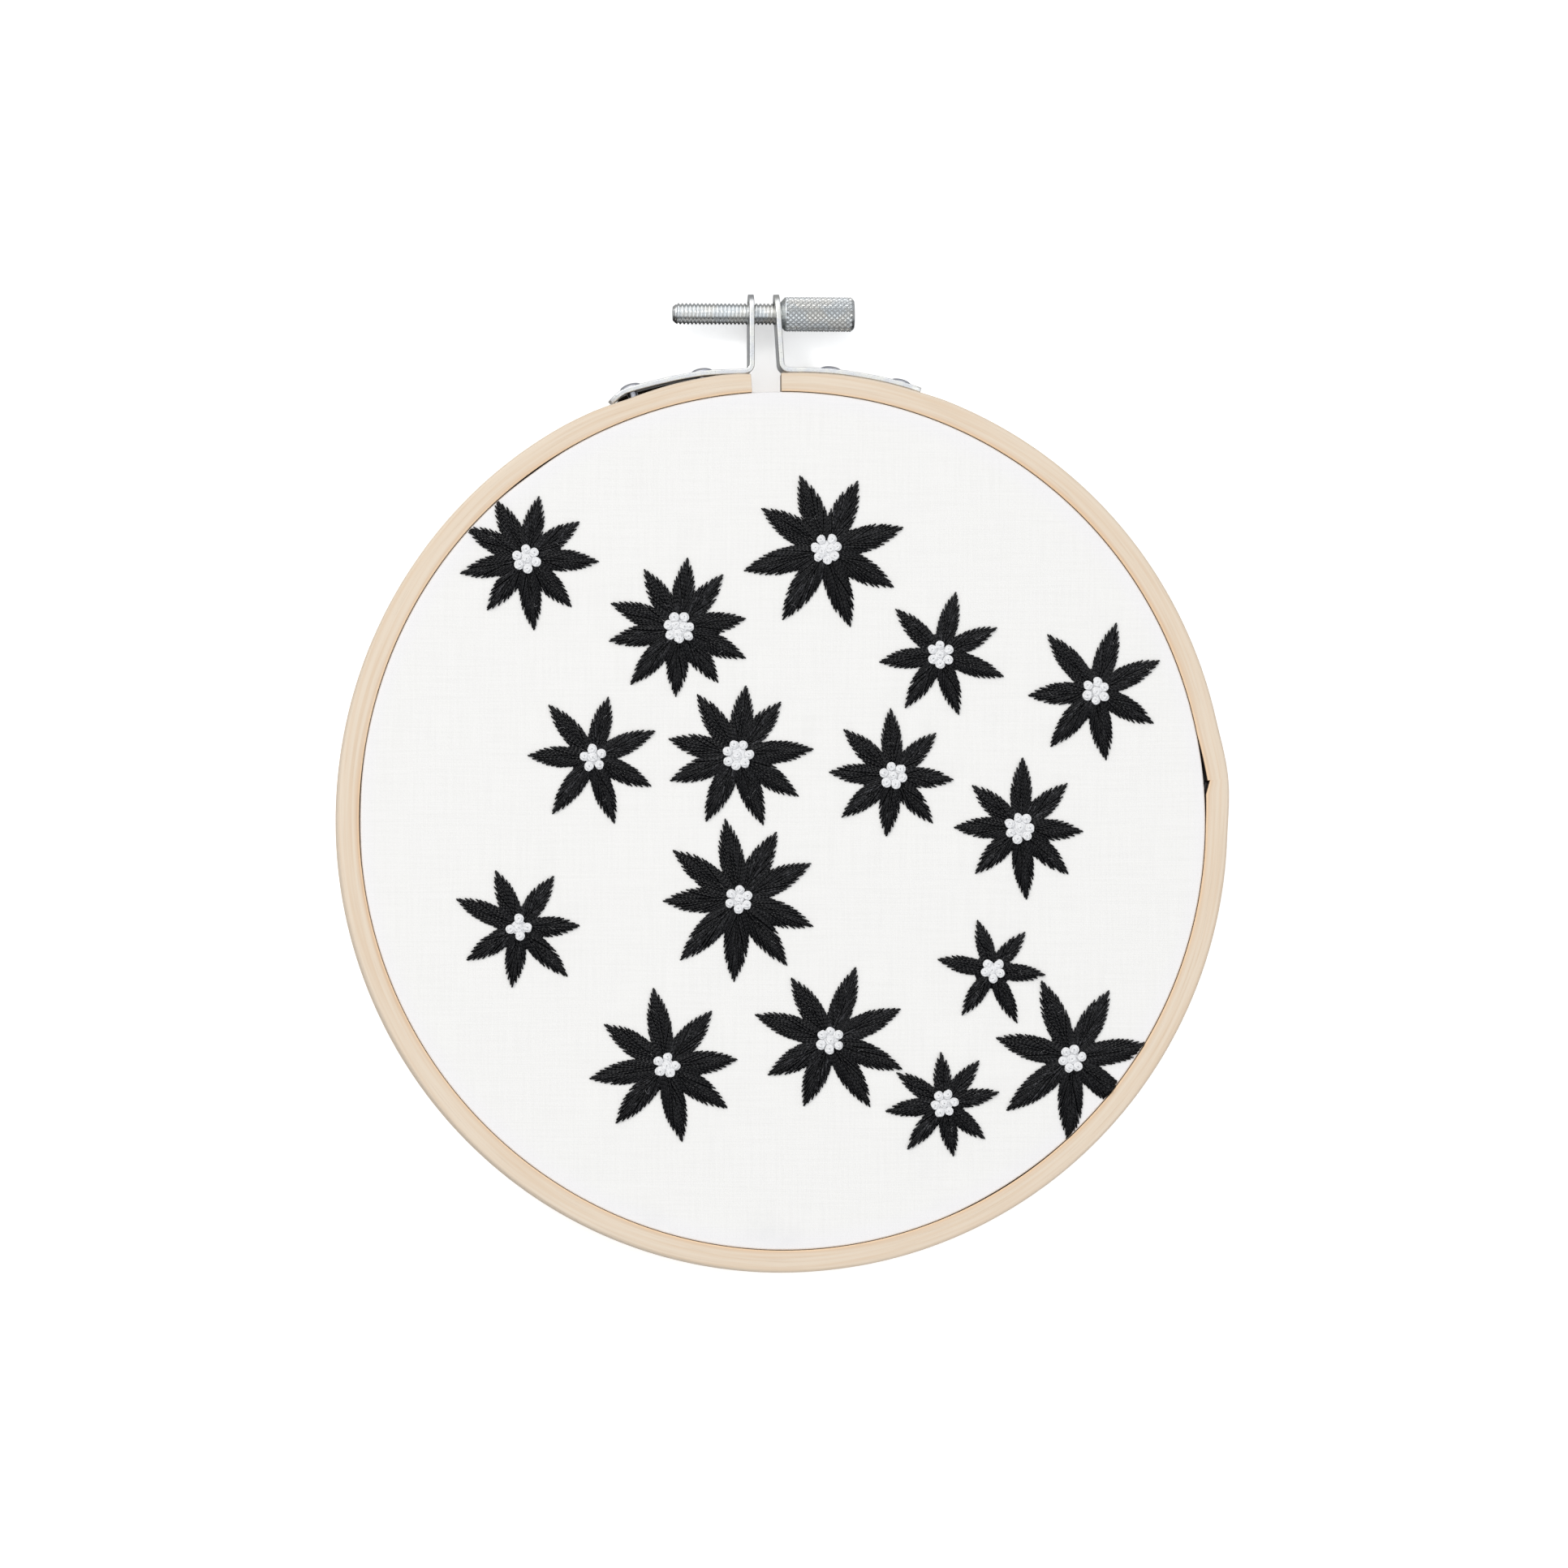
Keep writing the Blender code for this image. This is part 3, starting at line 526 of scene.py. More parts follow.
@dataclass(frozen=True)
class PaleWood(Finish):
    """Sanded pale wood of a bent hoop, with painted shade: warm at its inner edge, greyer on its outer face.
    """

    light: Colour = (0.745, 0.635, 0.510)
    dark: Colour = (0.690, 0.540, 0.395)
    # Painted shade: the warm inner edge and the greyer outer edge.
    inner_edge: Colour = (0.640, 0.400, 0.220)
    outer_edge_shade: Colour = (0.620, 0.520, 0.410)
    pore: Colour = (0.520, 0.360, 0.230)
    # Cut ends: darker end grain, with painted shade.
    shaded_end_grain: Colour = (0.330, 0.260, 0.195)
    # Painted highlight on the inner arris.
    arris_highlight: Colour = (0.900, 0.640, 0.400)
    # Painted shade down the inner wall, and how strong it is.
    wall_shade: Colour = (0.050, 0.026, 0.018)
    wall_shade_share: float = 0.96
    roughness: float = 0.58
    wall: float = 3.9 * MM
    top: float = 9.0 * MM

    def paint(self, bench: NodeBench) -> dict[str, object]:
        """Lay out the wood's nodes, as Finish.paint says."""
        place = bench.read("grain", "Vector")
        grain = bench.add("ShaderNodeGroup", {"Grain": place}, node_tree=EffectShop.wood_grain()).outputs
        tint = bench.blend(bench.span(grain["Streak"], 0.35, 0.75), self.light, self.dark)
        tint = bench.blend(bench.times(grain["Band"], 0.25), tint, self.dark)
        _, across, up = bench.parts(place)
        # Painted shade: a warm band along the inner edge.
        inner = bench.span(across, self.wall * 0.72, self.wall)
        inner = bench.times(inner, bench.span(grain["Band"], 0.2, 0.8, (0.25, 0.85)))
        tint = bench.blend(inner, tint, self.inner_edge)
        # Painted highlight: a bright line on the inner arris.
        sharp = bench.span(across, self.wall - 0.4 * MM, self.wall - 0.12 * MM, (0.0, 0.6))
        tint = bench.blend(sharp, tint, self.arris_highlight)
        # Painted shade: the inner wall darkens below its top, towards the gap at the cloth.
        face = bench.span(across, self.wall - 0.08 * MM, self.wall - 0.02 * MM)
        below = bench.span(up, self.top - 0.35 * MM, self.top - 0.9 * MM, (0.0, self.wall_shade_share))
        tint = bench.blend(bench.times(face, below), tint, self.wall_shade)
        # Painted shade: the outer edge turns greyer.
        tint = bench.blend(bench.span(across, self.wall * 0.13, 0.0, (0.0, 0.75)), tint, self.outer_edge_shade)
        tint = bench.blend(bench.times(grain["Pore"], 0.2), tint, self.pore)
        # The cut ends get darker end grain with painted shade.
        return {
            "Base Color": bench.blend(bench.span(bench.read("cut"), 0.9, 1.0), tint, self.shaded_end_grain),
            "Roughness": bench.span(grain["Streak"], 0.2, 0.8, (self.roughness - 0.08, self.roughness + 0.1)),
            "Normal": self.relief(bench, grain["Height"], 0.05 * MM, 0.5),
        }


@dataclass(frozen=True)
class GroundCotton(Finish):
    """Off-white plain-weave cotton, drawn tight, with painted shade in the weave's hollows and near the rim.
    """

    light: Colour = (0.848, 0.836, 0.818)
    dark: Colour = (0.822, 0.810, 0.792)
    # Painted shade near the rim.
    rim: Colour = (0.830, 0.815, 0.835)
    # Greyer mottling towards the bottom.
    bottom_grey: Colour = (0.740, 0.735, 0.740)
    thread_pitch: float = 0.42 * MM
    face_radius: float = 75.8 * MM

    def paint(self, bench: NodeBench) -> dict[str, object]:
        """Lay out the cloth's nodes, as Finish.paint says."""
        place = bench.out("ShaderNodeUVMap", uv_map="cut")
        feeds = {"Place": place, "Thread Pitch": self.thread_pitch}
        weave = bench.add("ShaderNodeGroup", feeds, node_tree=EffectShop.plain_weave()).outputs
        tint = bench.blend(bench.span(weave["Thread Tone"], 0.35, 0.7), self.light, self.dark)
        # Painted shade in the weave's hollows.
        tint = bench.blend(bench.span(weave["Height"], 0.45, 0.0, (0.0, 0.35)), tint, self.dark)
        away = bench.vector("LENGTH", place)
        # Painted shade: lavender-grey towards the rim.
        rim_shade = bench.span(away, self.face_radius - 3.5 * MM, self.face_radius, (0.0, 0.5))
        tint = bench.blend(rim_shade, tint, self.rim)
        # Greyer mottling towards the bottom.
        bottom = bench.span(bench.parts(place)[1], -52.0 * MM, -74.0 * MM)
        cloud = bench.span(weave["Mottle"], 0.52, 0.72, (0.0, 0.5))
        return {
            "Base Color": bench.blend(bench.times(bottom, cloud), tint, self.bottom_grey),
            "Roughness": 0.92,
            "Specular IOR Level": 0.25,
            "Sheen Weight": 0.05,
            "Normal": self.relief(bench, weave["Height"], 0.035 * MM, 0.45),
        }


@dataclass(frozen=True)
class TwistedThread(Finish):
    """Cotton embroidery thread of two plies, with a faint sheen along the strand and lighter dashes of wear
    and painted sheen.
    """

    deep: Colour = (0.002, 0.002, 0.003)
    wear_and_sheen: Colour = (0.060, 0.060, 0.066)
    roughness: float = 0.2
    specular: float = 0.22
    sheen: float = 0.0
    twist: float = 0.7 * MM
    ply_depth: float = 0.07 * MM

    def paint(self, bench: NodeBench) -> dict[str, object]:
        """Lay out the thread's nodes, as Finish.paint says."""
        strand = bench.read("strand", "Vector")
        feeds = {"Strand": strand, "Around": bench.read("around"), "Twist": self.twist}
        ply = bench.add("ShaderNodeGroup", feeds, node_tree=EffectShop.twisted_ply()).outputs
        tone = bench.parts(strand)[2]
        # Lighter dashes: worn fuzz, and painted sheen where the tone is high.
        share = bench.calc("MULTIPLY", bench.span(ply["Fuzz"], 0.5, 0.66), tone, clamp=True)
        return {
            "Base Color": bench.blend(share, self.deep, self.wear_and_sheen),
            "Roughness": bench.span(ply["Fuzz"], 0.3, 0.7, (self.roughness - 0.08, self.roughness + 0.12)),
            "Specular IOR Level": self.specular,
            "Sheen Weight": self.sheen,
            "Normal": self.relief(bench, ply["Height"], self.ply_depth, 0.7),
        }


@dataclass(frozen=True)
class ZincPlate(Finish):
    """Bright zinc plate on steel, a little blue in places and yellow in others, with painted shade in its
    recesses.
    """

    blue: Colour = (0.66, 0.72, 0.76)
    warm: Colour = (0.78, 0.74, 0.66)
    dull: Colour = (0.45, 0.46, 0.44)
    groove: Colour = (0.10, 0.095, 0.09)
    recess_shade_share: float = 0.78
    roughness: float = 0.26
    mark_share: float = 0.5
    depth: float = 0.03 * MM
    cloud_size: float = 2.0 * MM
    mark_size: float = 0.3 * MM

    def paint(self, bench: NodeBench) -> dict[str, object]:
        """Lay out the plate's nodes, as Finish.paint says."""
        place = bench.add("ShaderNodeTexCoord").outputs["Object"]
        feeds = {"Place": place, "Cloud Size": self.cloud_size, "Mark Size": self.mark_size}
        bloom = bench.add("ShaderNodeGroup", feeds, node_tree=EffectShop.plate_bloom()).outputs
        tint = bench.blend(bench.span(bloom["Cloud"], 0.4, 0.62), self.blue, self.warm)
        tint = bench.blend(bench.times(bloom["Mark"], self.mark_share), tint, self.dull)
        # Painted shade in recesses: dark and less metallic where the mesh marks it.
        deep = bench.span(bench.read("groove"), 0.2, 1.0, (0.0, self.recess_shade_share))
        return {
            "Base Color": bench.blend(deep, tint, self.groove),
            "Metallic": bench.calc("SUBTRACT", 1.0, deep),
            "Roughness": bench.span(bloom["Mark"], 0.0, 1.0, (self.roughness, self.roughness + 0.22)),
            "Normal": self.relief(bench, bloom["Height"], self.depth, 0.6),
        }


@dataclass(frozen=True)
class PaleFloor(Finish):
    """The studio's pale floor: a painted pool of light in the split, and painted shadow under the hoop and
    the lifted strip.
    """

    light: Colour = (0.90, 0.90, 0.90)
    dark: Colour = (0.88, 0.88, 0.88)
    glow: float = 0.5
    glow_elsewhere: float = 0.75
    # Painted light: a glowing spot in the split.
    glow_middle: Place = (-2.7 * MM, 71.0 * MM, 0.0)
    glow_reach: float = 9.5 * MM
    # Painted shadow: a dark slit under the lifted strip, and dark under the hoop.
    slit_middle: Place = (-20.5 * MM, 71.1 * MM, 0.0)
    slit_slope: float = 0.235
    slit_half_width: float = 1.2 * MM
    slit_half_length: float = 9.3 * MM
    shadow_colour: Colour = (0.02, 0.015, 0.01)
    hoop_middle: Place = (-0.13 * MM, -6.85 * MM, 0.0)
    hoop_reach: float = 77.5 * MM

    def paint(self, bench: NodeBench) -> dict[str, object]:
        """Lay out the floor's nodes, as Finish.paint says."""
        place = bench.add("ShaderNodeTexCoord").outputs["Object"]
        tint = bench.blend(bench.noise(place, 3.0), self.light, self.dark)
        # Painted shadow: a dark slit along the wood under the lifted strip.
        along, over, _ = bench.parts(bench.vector("SUBTRACT", place, self.slit_middle))
        aside = bench.calc("ABSOLUTE", bench.calc("MULTIPLY_ADD", along, -self.slit_slope, over))
        inside = bench.span(aside, self.slit_half_width, self.slit_half_width * 0.7)
        ends = bench.span(bench.calc("ABSOLUTE", along), self.slit_half_length, self.slit_half_length * 0.93)
        # Painted light: a glowing spot under the split.
        away = bench.vector("LENGTH", bench.vector("SUBTRACT", place, self.glow_middle))
        near = bench.span(away, self.glow_reach, self.glow_reach * 0.5)
        # Painted shadow under the hoop, outside the glowing spot.
        away = bench.vector("LENGTH", bench.vector("SUBTRACT", place, self.hoop_middle))
        under = bench.span(away, self.hoop_reach, self.hoop_reach - 0.5 * MM)
        under = bench.times(under, bench.calc("SUBTRACT", 1.0, near))
        shadow_mask = bench.calc("MAXIMUM", bench.times(inside, ends), under)
        # The floor glows evenly, more in the spot, and not in the painted shadow.
        lit = bench.span(near, 0.0, 1.0, (self.glow_elsewhere, 1.0))
        lit = bench.times(lit, bench.calc("SUBTRACT", 1.0, shadow_mask))
        return {
            "Base Color": bench.blend(shadow_mask, tint, self.shadow_colour),
            "Roughness": 0.95,
            "Specular IOR Level": 0.0,
            "Emission Color": bench.joined(lit, lit, lit),
            "Emission Strength": self.glow,
        }


@dataclass(frozen=True)
class PlainCard(Finish):
    """A studio card that shows only in the metal's reflections."""

    tone: float
    glow: float

    def paint(self, bench: NodeBench) -> dict[str, object]:
        """Lay out the card's nodes, as Finish.paint says."""
        patch = bench.noise(bench.add("ShaderNodeTexCoord").outputs["Object"], 3.0)
        return {
            "Base Color": bench.blend(patch, (self.tone,) * 3, (self.tone * 0.9,) * 3),
            "Roughness": 0.9,
            "Emission Color": (1.0, 1.0, 1.0, 1.0),
            "Emission Strength": self.glow,
        }


# Shapes that the pieces share


@dataclass(frozen=True)
class HoopForm:
    """The oval line that the wood follows, split at the top and kinked at the right."""

    middle: tuple[float, float] = (-0.13 * MM, -6.85 * MM)
    half_width: float = 79.7 * MM
    half_height: float = 80.7 * MM
    shoulder_swell: float = 0.3 * MM
    wall: float = 3.9 * MM
    depth: float = 9.0 * MM
    gap: float = 0.3 * MM
    cloth_z: float = 8.7 * MM
    planing: tuple = (
        (69.0, 0.0), (72.0, 0.15), (77.0, 0.15), (83.0, 0.26), (87.0, 0.42), (90.0, 0.6), (93.8, 0.66),
        (95.5, 0.42), (98.6, 0.25), (104.5, 0.29), (107.5, 0.40), (110.6, 0.46), (115.0, 0.12), (119.0, 0.0),
    )

    def radius(self, turn: Array) -> Array:
        """Radius of the wood's outer face at angles in radians."""
        oval = 1.0 / np.hypot(np.cos(turn) / self.half_width, np.sin(turn) / self.half_height)
        return oval + np.where(np.sin(turn) > 0.0, self.shoulder_swell * np.sin(2.0 * turn) ** 2, 0.0)

    def point(self, turn: Array, inset: Array, z: Array) -> Array:
        """Points of the hoop.

        Args:
            turn: Angles in radians.
            inset: How far inside the wood's outer face.
            z: Height over the floor.

        Returns:
            One row of three numbers a point.
        """
        turn, inset, z = np.broadcast_arrays(np.asarray(turn, float), inset, z)
        away = self.radius(turn) - inset
        x = self.middle[0] + away * np.cos(turn)
        y = self.middle[1] + away * np.sin(turn)
        return np.stack((x, y, z), -1)

    def turn_at(self, x: float) -> float:
        """The angle in radians of the wood's upper part over a distance right of the hoop's middle."""
        return acos(x / self.half_height)

    def planed(self, degrees: Array) -> Array:
        """How much of the outer face is planed off under the closing strips."""
        return np.interp(degrees % 360.0, *np.array(self.planing).T) * MM

    @staticmethod
    def inwards(turn: Array) -> Array:
        """The direction to the hoop's middle at each angle."""
        return np.stack((-np.cos(turn), -np.sin(turn), np.zeros_like(turn)), -1)

    def kept_inside(self, points: Sequence[tuple], margin: float) -> list[tuple]:
        """Points over the cloth's face, brought back inside the rim.

        Args:
            points: Rows of x, y and height.
            margin: The least distance to the cloth's edge.

        Returns:
            The rows, moved towards the hoop's middle where they were too far out.
        """
        spots = np.array(points)
        away = spots[:, :2] - np.array(self.middle)
        far = np.hypot(away[:, 0], away[:, 1])
        most = self.radius(np.arctan2(away[:, 1], away[:, 0])) - self.wall - self.gap - margin
        share = np.minimum(1.0, most / np.maximum(far, 1e-9))
        spots[:, :2] = np.array(self.middle) + away * share[:, None]
        return [tuple(spot) for spot in spots]


FORM = HoopForm()


class Workshop:
    """Turns points into meshes, runs geometry trees, and puts finished pieces in the frame."""

    count: int = 0

    @staticmethod
    def hang(name: str, mesh: Mesh) -> Object:
        """An object of the scene that holds the mesh."""
        made = bpy.data.objects.new(name, mesh)
        bpy.context.scene.collection.objects.link(made)
        return made

    @staticmethod
    def line_mesh(name: str, points: Array, closed: bool = False) -> Mesh:
        """A mesh of one line.

        Args:
            name: The mesh's name.
            points: Its points in order.
            closed: Whether the last joins the first.

        Returns:
            The mesh.
        """
        edges = [(i, i + 1) for i in range(len(points) - 1)] + [(len(points) - 1, 0)] * closed
        mesh = bpy.data.meshes.new(name)
        mesh.from_pydata([tuple(point) for point in points], edges, [])
        return mesh

    @staticmethod
    def grid_mesh(name: str, points: Array, wrap: bool) -> Mesh:
        """A mesh of a grid of points.

        Args:
            name: The mesh's name.
            points: Rows and columns of points.
            wrap: Whether the last column joins the first.

        Returns:
            The mesh.
        """
        rows, columns = points.shape[:2]
        number = np.arange(rows * columns).reshape(rows, columns)
        right = np.roll(number, -1, 1) if wrap else number[:, 1:]
        left = number if wrap else number[:, :-1]
        quads = np.stack((left[:-1], right[:-1], right[1:], left[1:]), -1).reshape(-1, 4)
        mesh = bpy.data.meshes.new(name)
        mesh.from_pydata(points.reshape(-1, 3).tolist(), [], quads.tolist())
        return mesh

    @staticmethod
    def note(mesh: Mesh, **values: Array) -> None:
        """Store attributes on a mesh's points.

        Args:
            mesh: The mesh.
            values: Each attribute's name, and one number, row or yes and no a point.
        """
        for name, rows in values.items():
            kind = "BOOLEAN" if rows.dtype == bool else ("FLOAT", "FLOAT_VECTOR")[rows.ndim - 1]
            made = mesh.attributes.new(name, kind, "POINT")
            made.data.foreach_set("vector" if kind == "FLOAT_VECTOR" else "value", rows.ravel())

    @staticmethod
    def face_outwards(mesh: Mesh) -> None:
        """Turn a closed mesh's faces outwards if they point in."""
        shape = bmesh.new()
        shape.from_mesh(mesh)
        if shape.calc_volume(signed=True) < 0.0:
            mesh.flip_normals()
        shape.free()

    @staticmethod
    def grow(host: Object, tree: NodeTree, values: dict[str, object]) -> None:
        """Run a geometry tree on an object and keep the result as its plain mesh.

        Args:
            host: The object that holds the paths or points.
            tree: The geometry tree.
            values: The tree's inputs by name.
        """
        modifier = host.modifiers.new(tree.name, "NODES")
        modifier.node_group = tree
        for item in tree.interface.items_tree:
            if item.item_type == "SOCKET" and item.in_out == "INPUT" and item.name in values:
                modifier[item.identifier] = values[item.name]
        Workshop.apply(host)

    @staticmethod
    def apply(host: Object) -> None:
        """Keep an object's evaluated shape as its plain mesh."""
        bpy.context.view_layer.update()
        depsgraph = bpy.context.evaluated_depsgraph_get()
        evaluated = host.evaluated_get(depsgraph)
        plain = bpy.data.meshes.new_from_object(evaluated, preserve_all_data_layers=True, depsgraph=depsgraph)
        host.modifiers.clear()
        host.data = plain

    @classmethod
    def fit(cls, piece: Object, slot: str, nodes: Sequence[str] = (), body: str = "hoop") -> None:
        """Put a finished piece in the frame and report it.

        Args:
            piece: The piece.
            slot: The material slot of its finish; not used.
            nodes: The plain solids that it stands for.
            body: The body that it rides on.
        """
        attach(piece, body)
        if nodes:
            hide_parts(*nodes)
        piece.data.calc_loop_triangles()
        cls.count += len(piece.data.loop_triangles)
        log.info("%s: %d triangles on %s", piece.name, len(piece.data.loop_triangles), body)


class Section:
    """Outlines of what is carried along a path."""

    @staticmethod
    def rounded(low: tuple, high: tuple, radii: tuple, steps: int, body_steps: int = 1) -> Array:
        """A rectangle with rounded corners.

        Args:
            low: Its lowest corner.
            high: Its highest corner.
            radii: The radius of the two corners at its low side and of the two at its high side.
            steps: Steps round each corner.
            body_steps: Steps along each straight side.

        Returns:
            The outline's points in order.
        """
        near, far = radii
        corners = (
            (high[0] - far, high[1] - far, far, 0.0),
            (low[0] + near, high[1] - near, near, 90.0),
            (low[0] + near, low[1] + near, near, 180.0),
            (high[0] - far, low[1] + far, far, 270.0),
        )
        points: list[tuple] = []
        for x, y, radius, start in corners:
            turns = [radians(start + 90.0 * i / steps) for i in range(steps + 1)]
            arc = [(x + radius * cos(turn), y + radius * sin(turn), 0.0) for turn in turns]
            if points:
                points += Section.between(points[-1], arc[0], body_steps)
            points += arc
        points += Section.between(points[-1], points[0], body_steps)
        return np.array(points)

    @staticmethod
    def between(near: tuple, far: tuple, steps: int) -> list[tuple]:
        """Points between two others, without them."""
        return [tuple(np.array(near) + (np.array(far) - np.array(near)) * i / steps) for i in range(1, steps)]

    @staticmethod
    def softened(points: Sequence[tuple[float, float]], radius: float, steps: int) -> Array:
        """A line whose corners are rounded off.

        Args:
            points: The line's corners.
            radius: How far from a corner its rounding starts.
            steps: Steps in each rounding.

        Returns:
            The line's points.
        """
        corners = [np.array(point, float) for point in points]
        line = [corners[0]]
        for before, corner, after in zip(corners, corners[1:], corners[2:]):
            back, ahead = before - corner, after - corner
            reach_back = min(radius, 0.45 * np.linalg.norm(back))
            reach_ahead = min(radius, 0.45 * np.linalg.norm(ahead))
            start = corner + back / np.linalg.norm(back) * reach_back
            end = corner + ahead / np.linalg.norm(ahead) * reach_ahead
            for i in range(steps + 1):
                t = i / steps
                line.append((1 - t) ** 2 * start + 2 * t * (1 - t) * corner + t**2 * end)
        line.append(corners[-1])
        return np.array(line)


def swept(name: str, path: Array, side: Array, stretch: Array, outline: Array,
          finish: Material, sharp: float = 50.0) -> Object:
    """A bent strip along a path.

    Args:
        name: The piece's name.
        path: The path's points.
        side: The direction at each point in which the section's first axis goes.
        stretch: The section's width share, height share and shift at each point.
        outline: The section's points.
        finish: The strip's material.
        sharp: Edges that turn more than this many degrees stay sharp.

    Returns:
        The piece.
    """
    mesh = Workshop.line_mesh(name, path)
    steps = np.linalg.norm(np.diff(path, axis=0), axis=1)
    cut = np.zeros(len(path))
    cut[[0, -1]] = 1.0
    run = np.concatenate(([0.0], np.cumsum(steps)))
    Workshop.note(mesh, side=side, stretch=stretch, run=run, cut=cut)
    host = Workshop.hang(name, mesh)
    section = Workshop.hang(name + "_section", Workshop.line_mesh(name + "_section", outline, closed=True))
    Workshop.grow(host, TreeShop.strip(), {"Section": section, "Material": finish})
    bpy.data.objects.remove(section)
    Workshop.face_outwards(host.data)
    host.data.set_sharp_from_angle(angle=radians(sharp))
    return host


# Wood


@dataclass
class OuterRing:
    """The split outer ring, with its kink and crack at the right."""

    steps: int = 720
    split_left_x: float = -5.9 * MM
    split_right_x: float = -0.4 * MM
    end_lean: float = 0.4 * MM
    edge: float = 0.55 * MM
    inner_edge: float = 0.2 * MM
    kink: float = 5.5
    bulge: float = 0.5 * MM
    bulge_reach: float = 8.0
    inner_gap: float = 0.68 * MM
    crack_step: float = 0.4 * MM
    gap_above: float = 6.2
    gap_below: float = 2.3
    tail_gap: float = 0.3 * MM
    tail_reach: float = 6.0
    finish: PaleWood = field(default_factory=PaleWood)

    def kinked(self, degrees: Array) -> tuple[Array, Array]:
        """How far the outer face swells and the inner face leaves the cloth.

        Args:
            degrees: Angles round the ring.

        Returns:
            The swelling and the gap at each angle.
        """
        away = (degrees - self.kink + 180.0) % 360.0 - 180.0
        share = np.minimum(1.0, np.abs(away) / self.bulge_reach)
        swell = self.bulge * 0.5 * (1.0 + np.cos(pi * share))
        above = self.inner_gap * np.maximum(0.0, 1.0 - away / self.gap_above)
        below = (self.inner_gap + self.crack_step) * np.maximum(0.0, 1.0 + away / self.gap_below)
        below = np.maximum(below, self.tail_gap * np.maximum(0.0, 1.0 + away / self.tail_reach))
        return swell, np.where(away >= 0.0, above, below)

    def build(self) -> None:
        """Build the ring and fit it."""
        start = np.degrees(FORM.turn_at(self.split_left_x)) - 360.0
        end = np.degrees(FORM.turn_at(self.split_right_x))
        near = [self.kink - 0.06, self.kink - 0.01, self.kink + 0.01, self.kink + 0.06]
        degrees = np.unique(np.concatenate((np.linspace(start, end, self.steps), near)))
        turn = np.radians(degrees)
        swell, gap = self.kinked(degrees)
        swell = swell - FORM.planed(degrees)
        path = FORM.point(turn, 0.0, 0.0)
        side = FORM.inwards(turn)
        wide = (FORM.wall - gap + swell) / FORM.wall
        stretch = np.stack((wide, np.ones_like(wide), -swell), -1)
        outline = Section.rounded((0.0, 0.0), (FORM.wall, FORM.depth), (self.edge, self.inner_edge), 4, 3)
        piece = swept("hoop_outer_wood", path, side, stretch, outline, self.finish.material("pale_wood"))
        edge = FORM.middle[0] + self.split_right_x + 0.05 * MM
        for vertex in piece.data.vertices:
            if vertex.co.y > 0.0 and abs(vertex.co.x - edge) < 0.1 * MM:
                vertex.co.x += self.end_lean * (1.0 - vertex.co.z / FORM.depth)
        Workshop.fit(piece, "wood", ["outer_ring"])


@dataclass
class InnerRing:
    """The plain ring under the cloth, closed by a butt joint."""

    steps: int = 360
    outside: float = 4.55 * MM
    wall: float = 4.9 * MM
    top: float = 8.33 * MM
    edge: float = 0.5 * MM
    # Painted shade at the inner edge, and none down the wall.
    finish: PaleWood = field(default_factory=lambda: PaleWood(inner_edge=(0.66, 0.48, 0.32), wall_shade_share=0.0))

    def build(self) -> None:
        """Build the ring and fit it."""
        turn = np.radians(np.linspace(-60.0, 300.0, self.steps))
        side = FORM.inwards(turn)
        stretch = np.tile((1.0, 1.0, 0.0), (len(turn), 1))
        outline = Section.rounded((0.0, 0.0), (self.wall, self.top), (self.edge, self.edge), 3, 2)
        path = FORM.point(turn, self.outside, 0.0)
        wood = self.finish.material("inner_wood")
        piece = swept("hoop_inner_wood", path, side, stretch, outline, wood)
        Workshop.fit(piece, "wood", ["inner_ring"])


# Embroidery


@dataclass(frozen=True)
class Flower:
    """One flower's place and make-up, in millimetres from the hoop's middle and degrees."""

    x: float
    y: float
    reach: float
    petals: int
    turn: float
    knots: int

    def middle(self) -> Array:
        """The flower's middle in the frame."""
        return np.array((FORM.middle[0] + self.x * MM, FORM.middle[1] + self.y * MM))


FLOWERS = (
    Flower(-46.0, 46.5, 12.2, 9, 37, 7),
    Flower(7.7, 48.3, 14.6, 8, 16, 9),
    Flower(-18.7, 34.2, 12.6, 10, 13, 10),
    Flower(28.1, 29.7, 11.3, 7, 29, 7),
    Flower(56.0, 23.2, 12.5, 7, 26, 7),
    Flower(-34.1, 11.0, 11.7, 7, 28, 6),
    Flower(-8.3, 11.6, 13.0, 9, 6, 8),
    Flower(19.6, 8.0, 11.6, 8, 43, 7),
    Flower(42.3, -1.3, 12.0, 8, 2, 8),
    Flower(-47.3, -19.3, 11.5, 7, 6, 5),
    Flower(-8.0, -14.2, 14.1, 9, 23, 7),
    Flower(37.4, -26.8, 9.7, 6, 51, 6),
    Flower(-21.0, -43.9, 13.3, 8, 8, 6),
    Flower(8.3, -39.3, 13.3, 8, 27, 7),
    Flower(28.7, -50.6, 9.9, 8, 7, 7),
    Flower(51.6, -42.5, 14.1, 7, 12, 7),
)


@dataclass(frozen=True)
class Petal:
    """A pointed petal: where it starts, which way it points and how long it is."""

    middle: tuple[float, float]
    angle: float
    length: float
    reach: float
    half_width_share: float = 0.155
    widest: float = 0.5
    root_narrowing: float = 0.5
    taper_power: float = 2.1

    def half_width(self, share: float) -> float:
        """Half the petal's width at a share of its length."""
        if share < self.widest:
            full = 1.0 - self.root_narrowing * (1.0 - share / self.widest) ** 2
        else:
            full = 1.0 - ((share - self.widest) / (1.0 - self.widest)) ** self.taper_power
        return self.half_width_share * self.reach * full

    def at(self, share: float, across: float) -> tuple[float, float]:
        """The place in the frame at a share of the petal's length and a distance to its left."""
        along, far = (cos(self.angle), sin(self.angle)), share * self.length
        x, y = self.middle
        return x + along[0] * far - along[1] * across, y + along[1] * far + along[0] * across


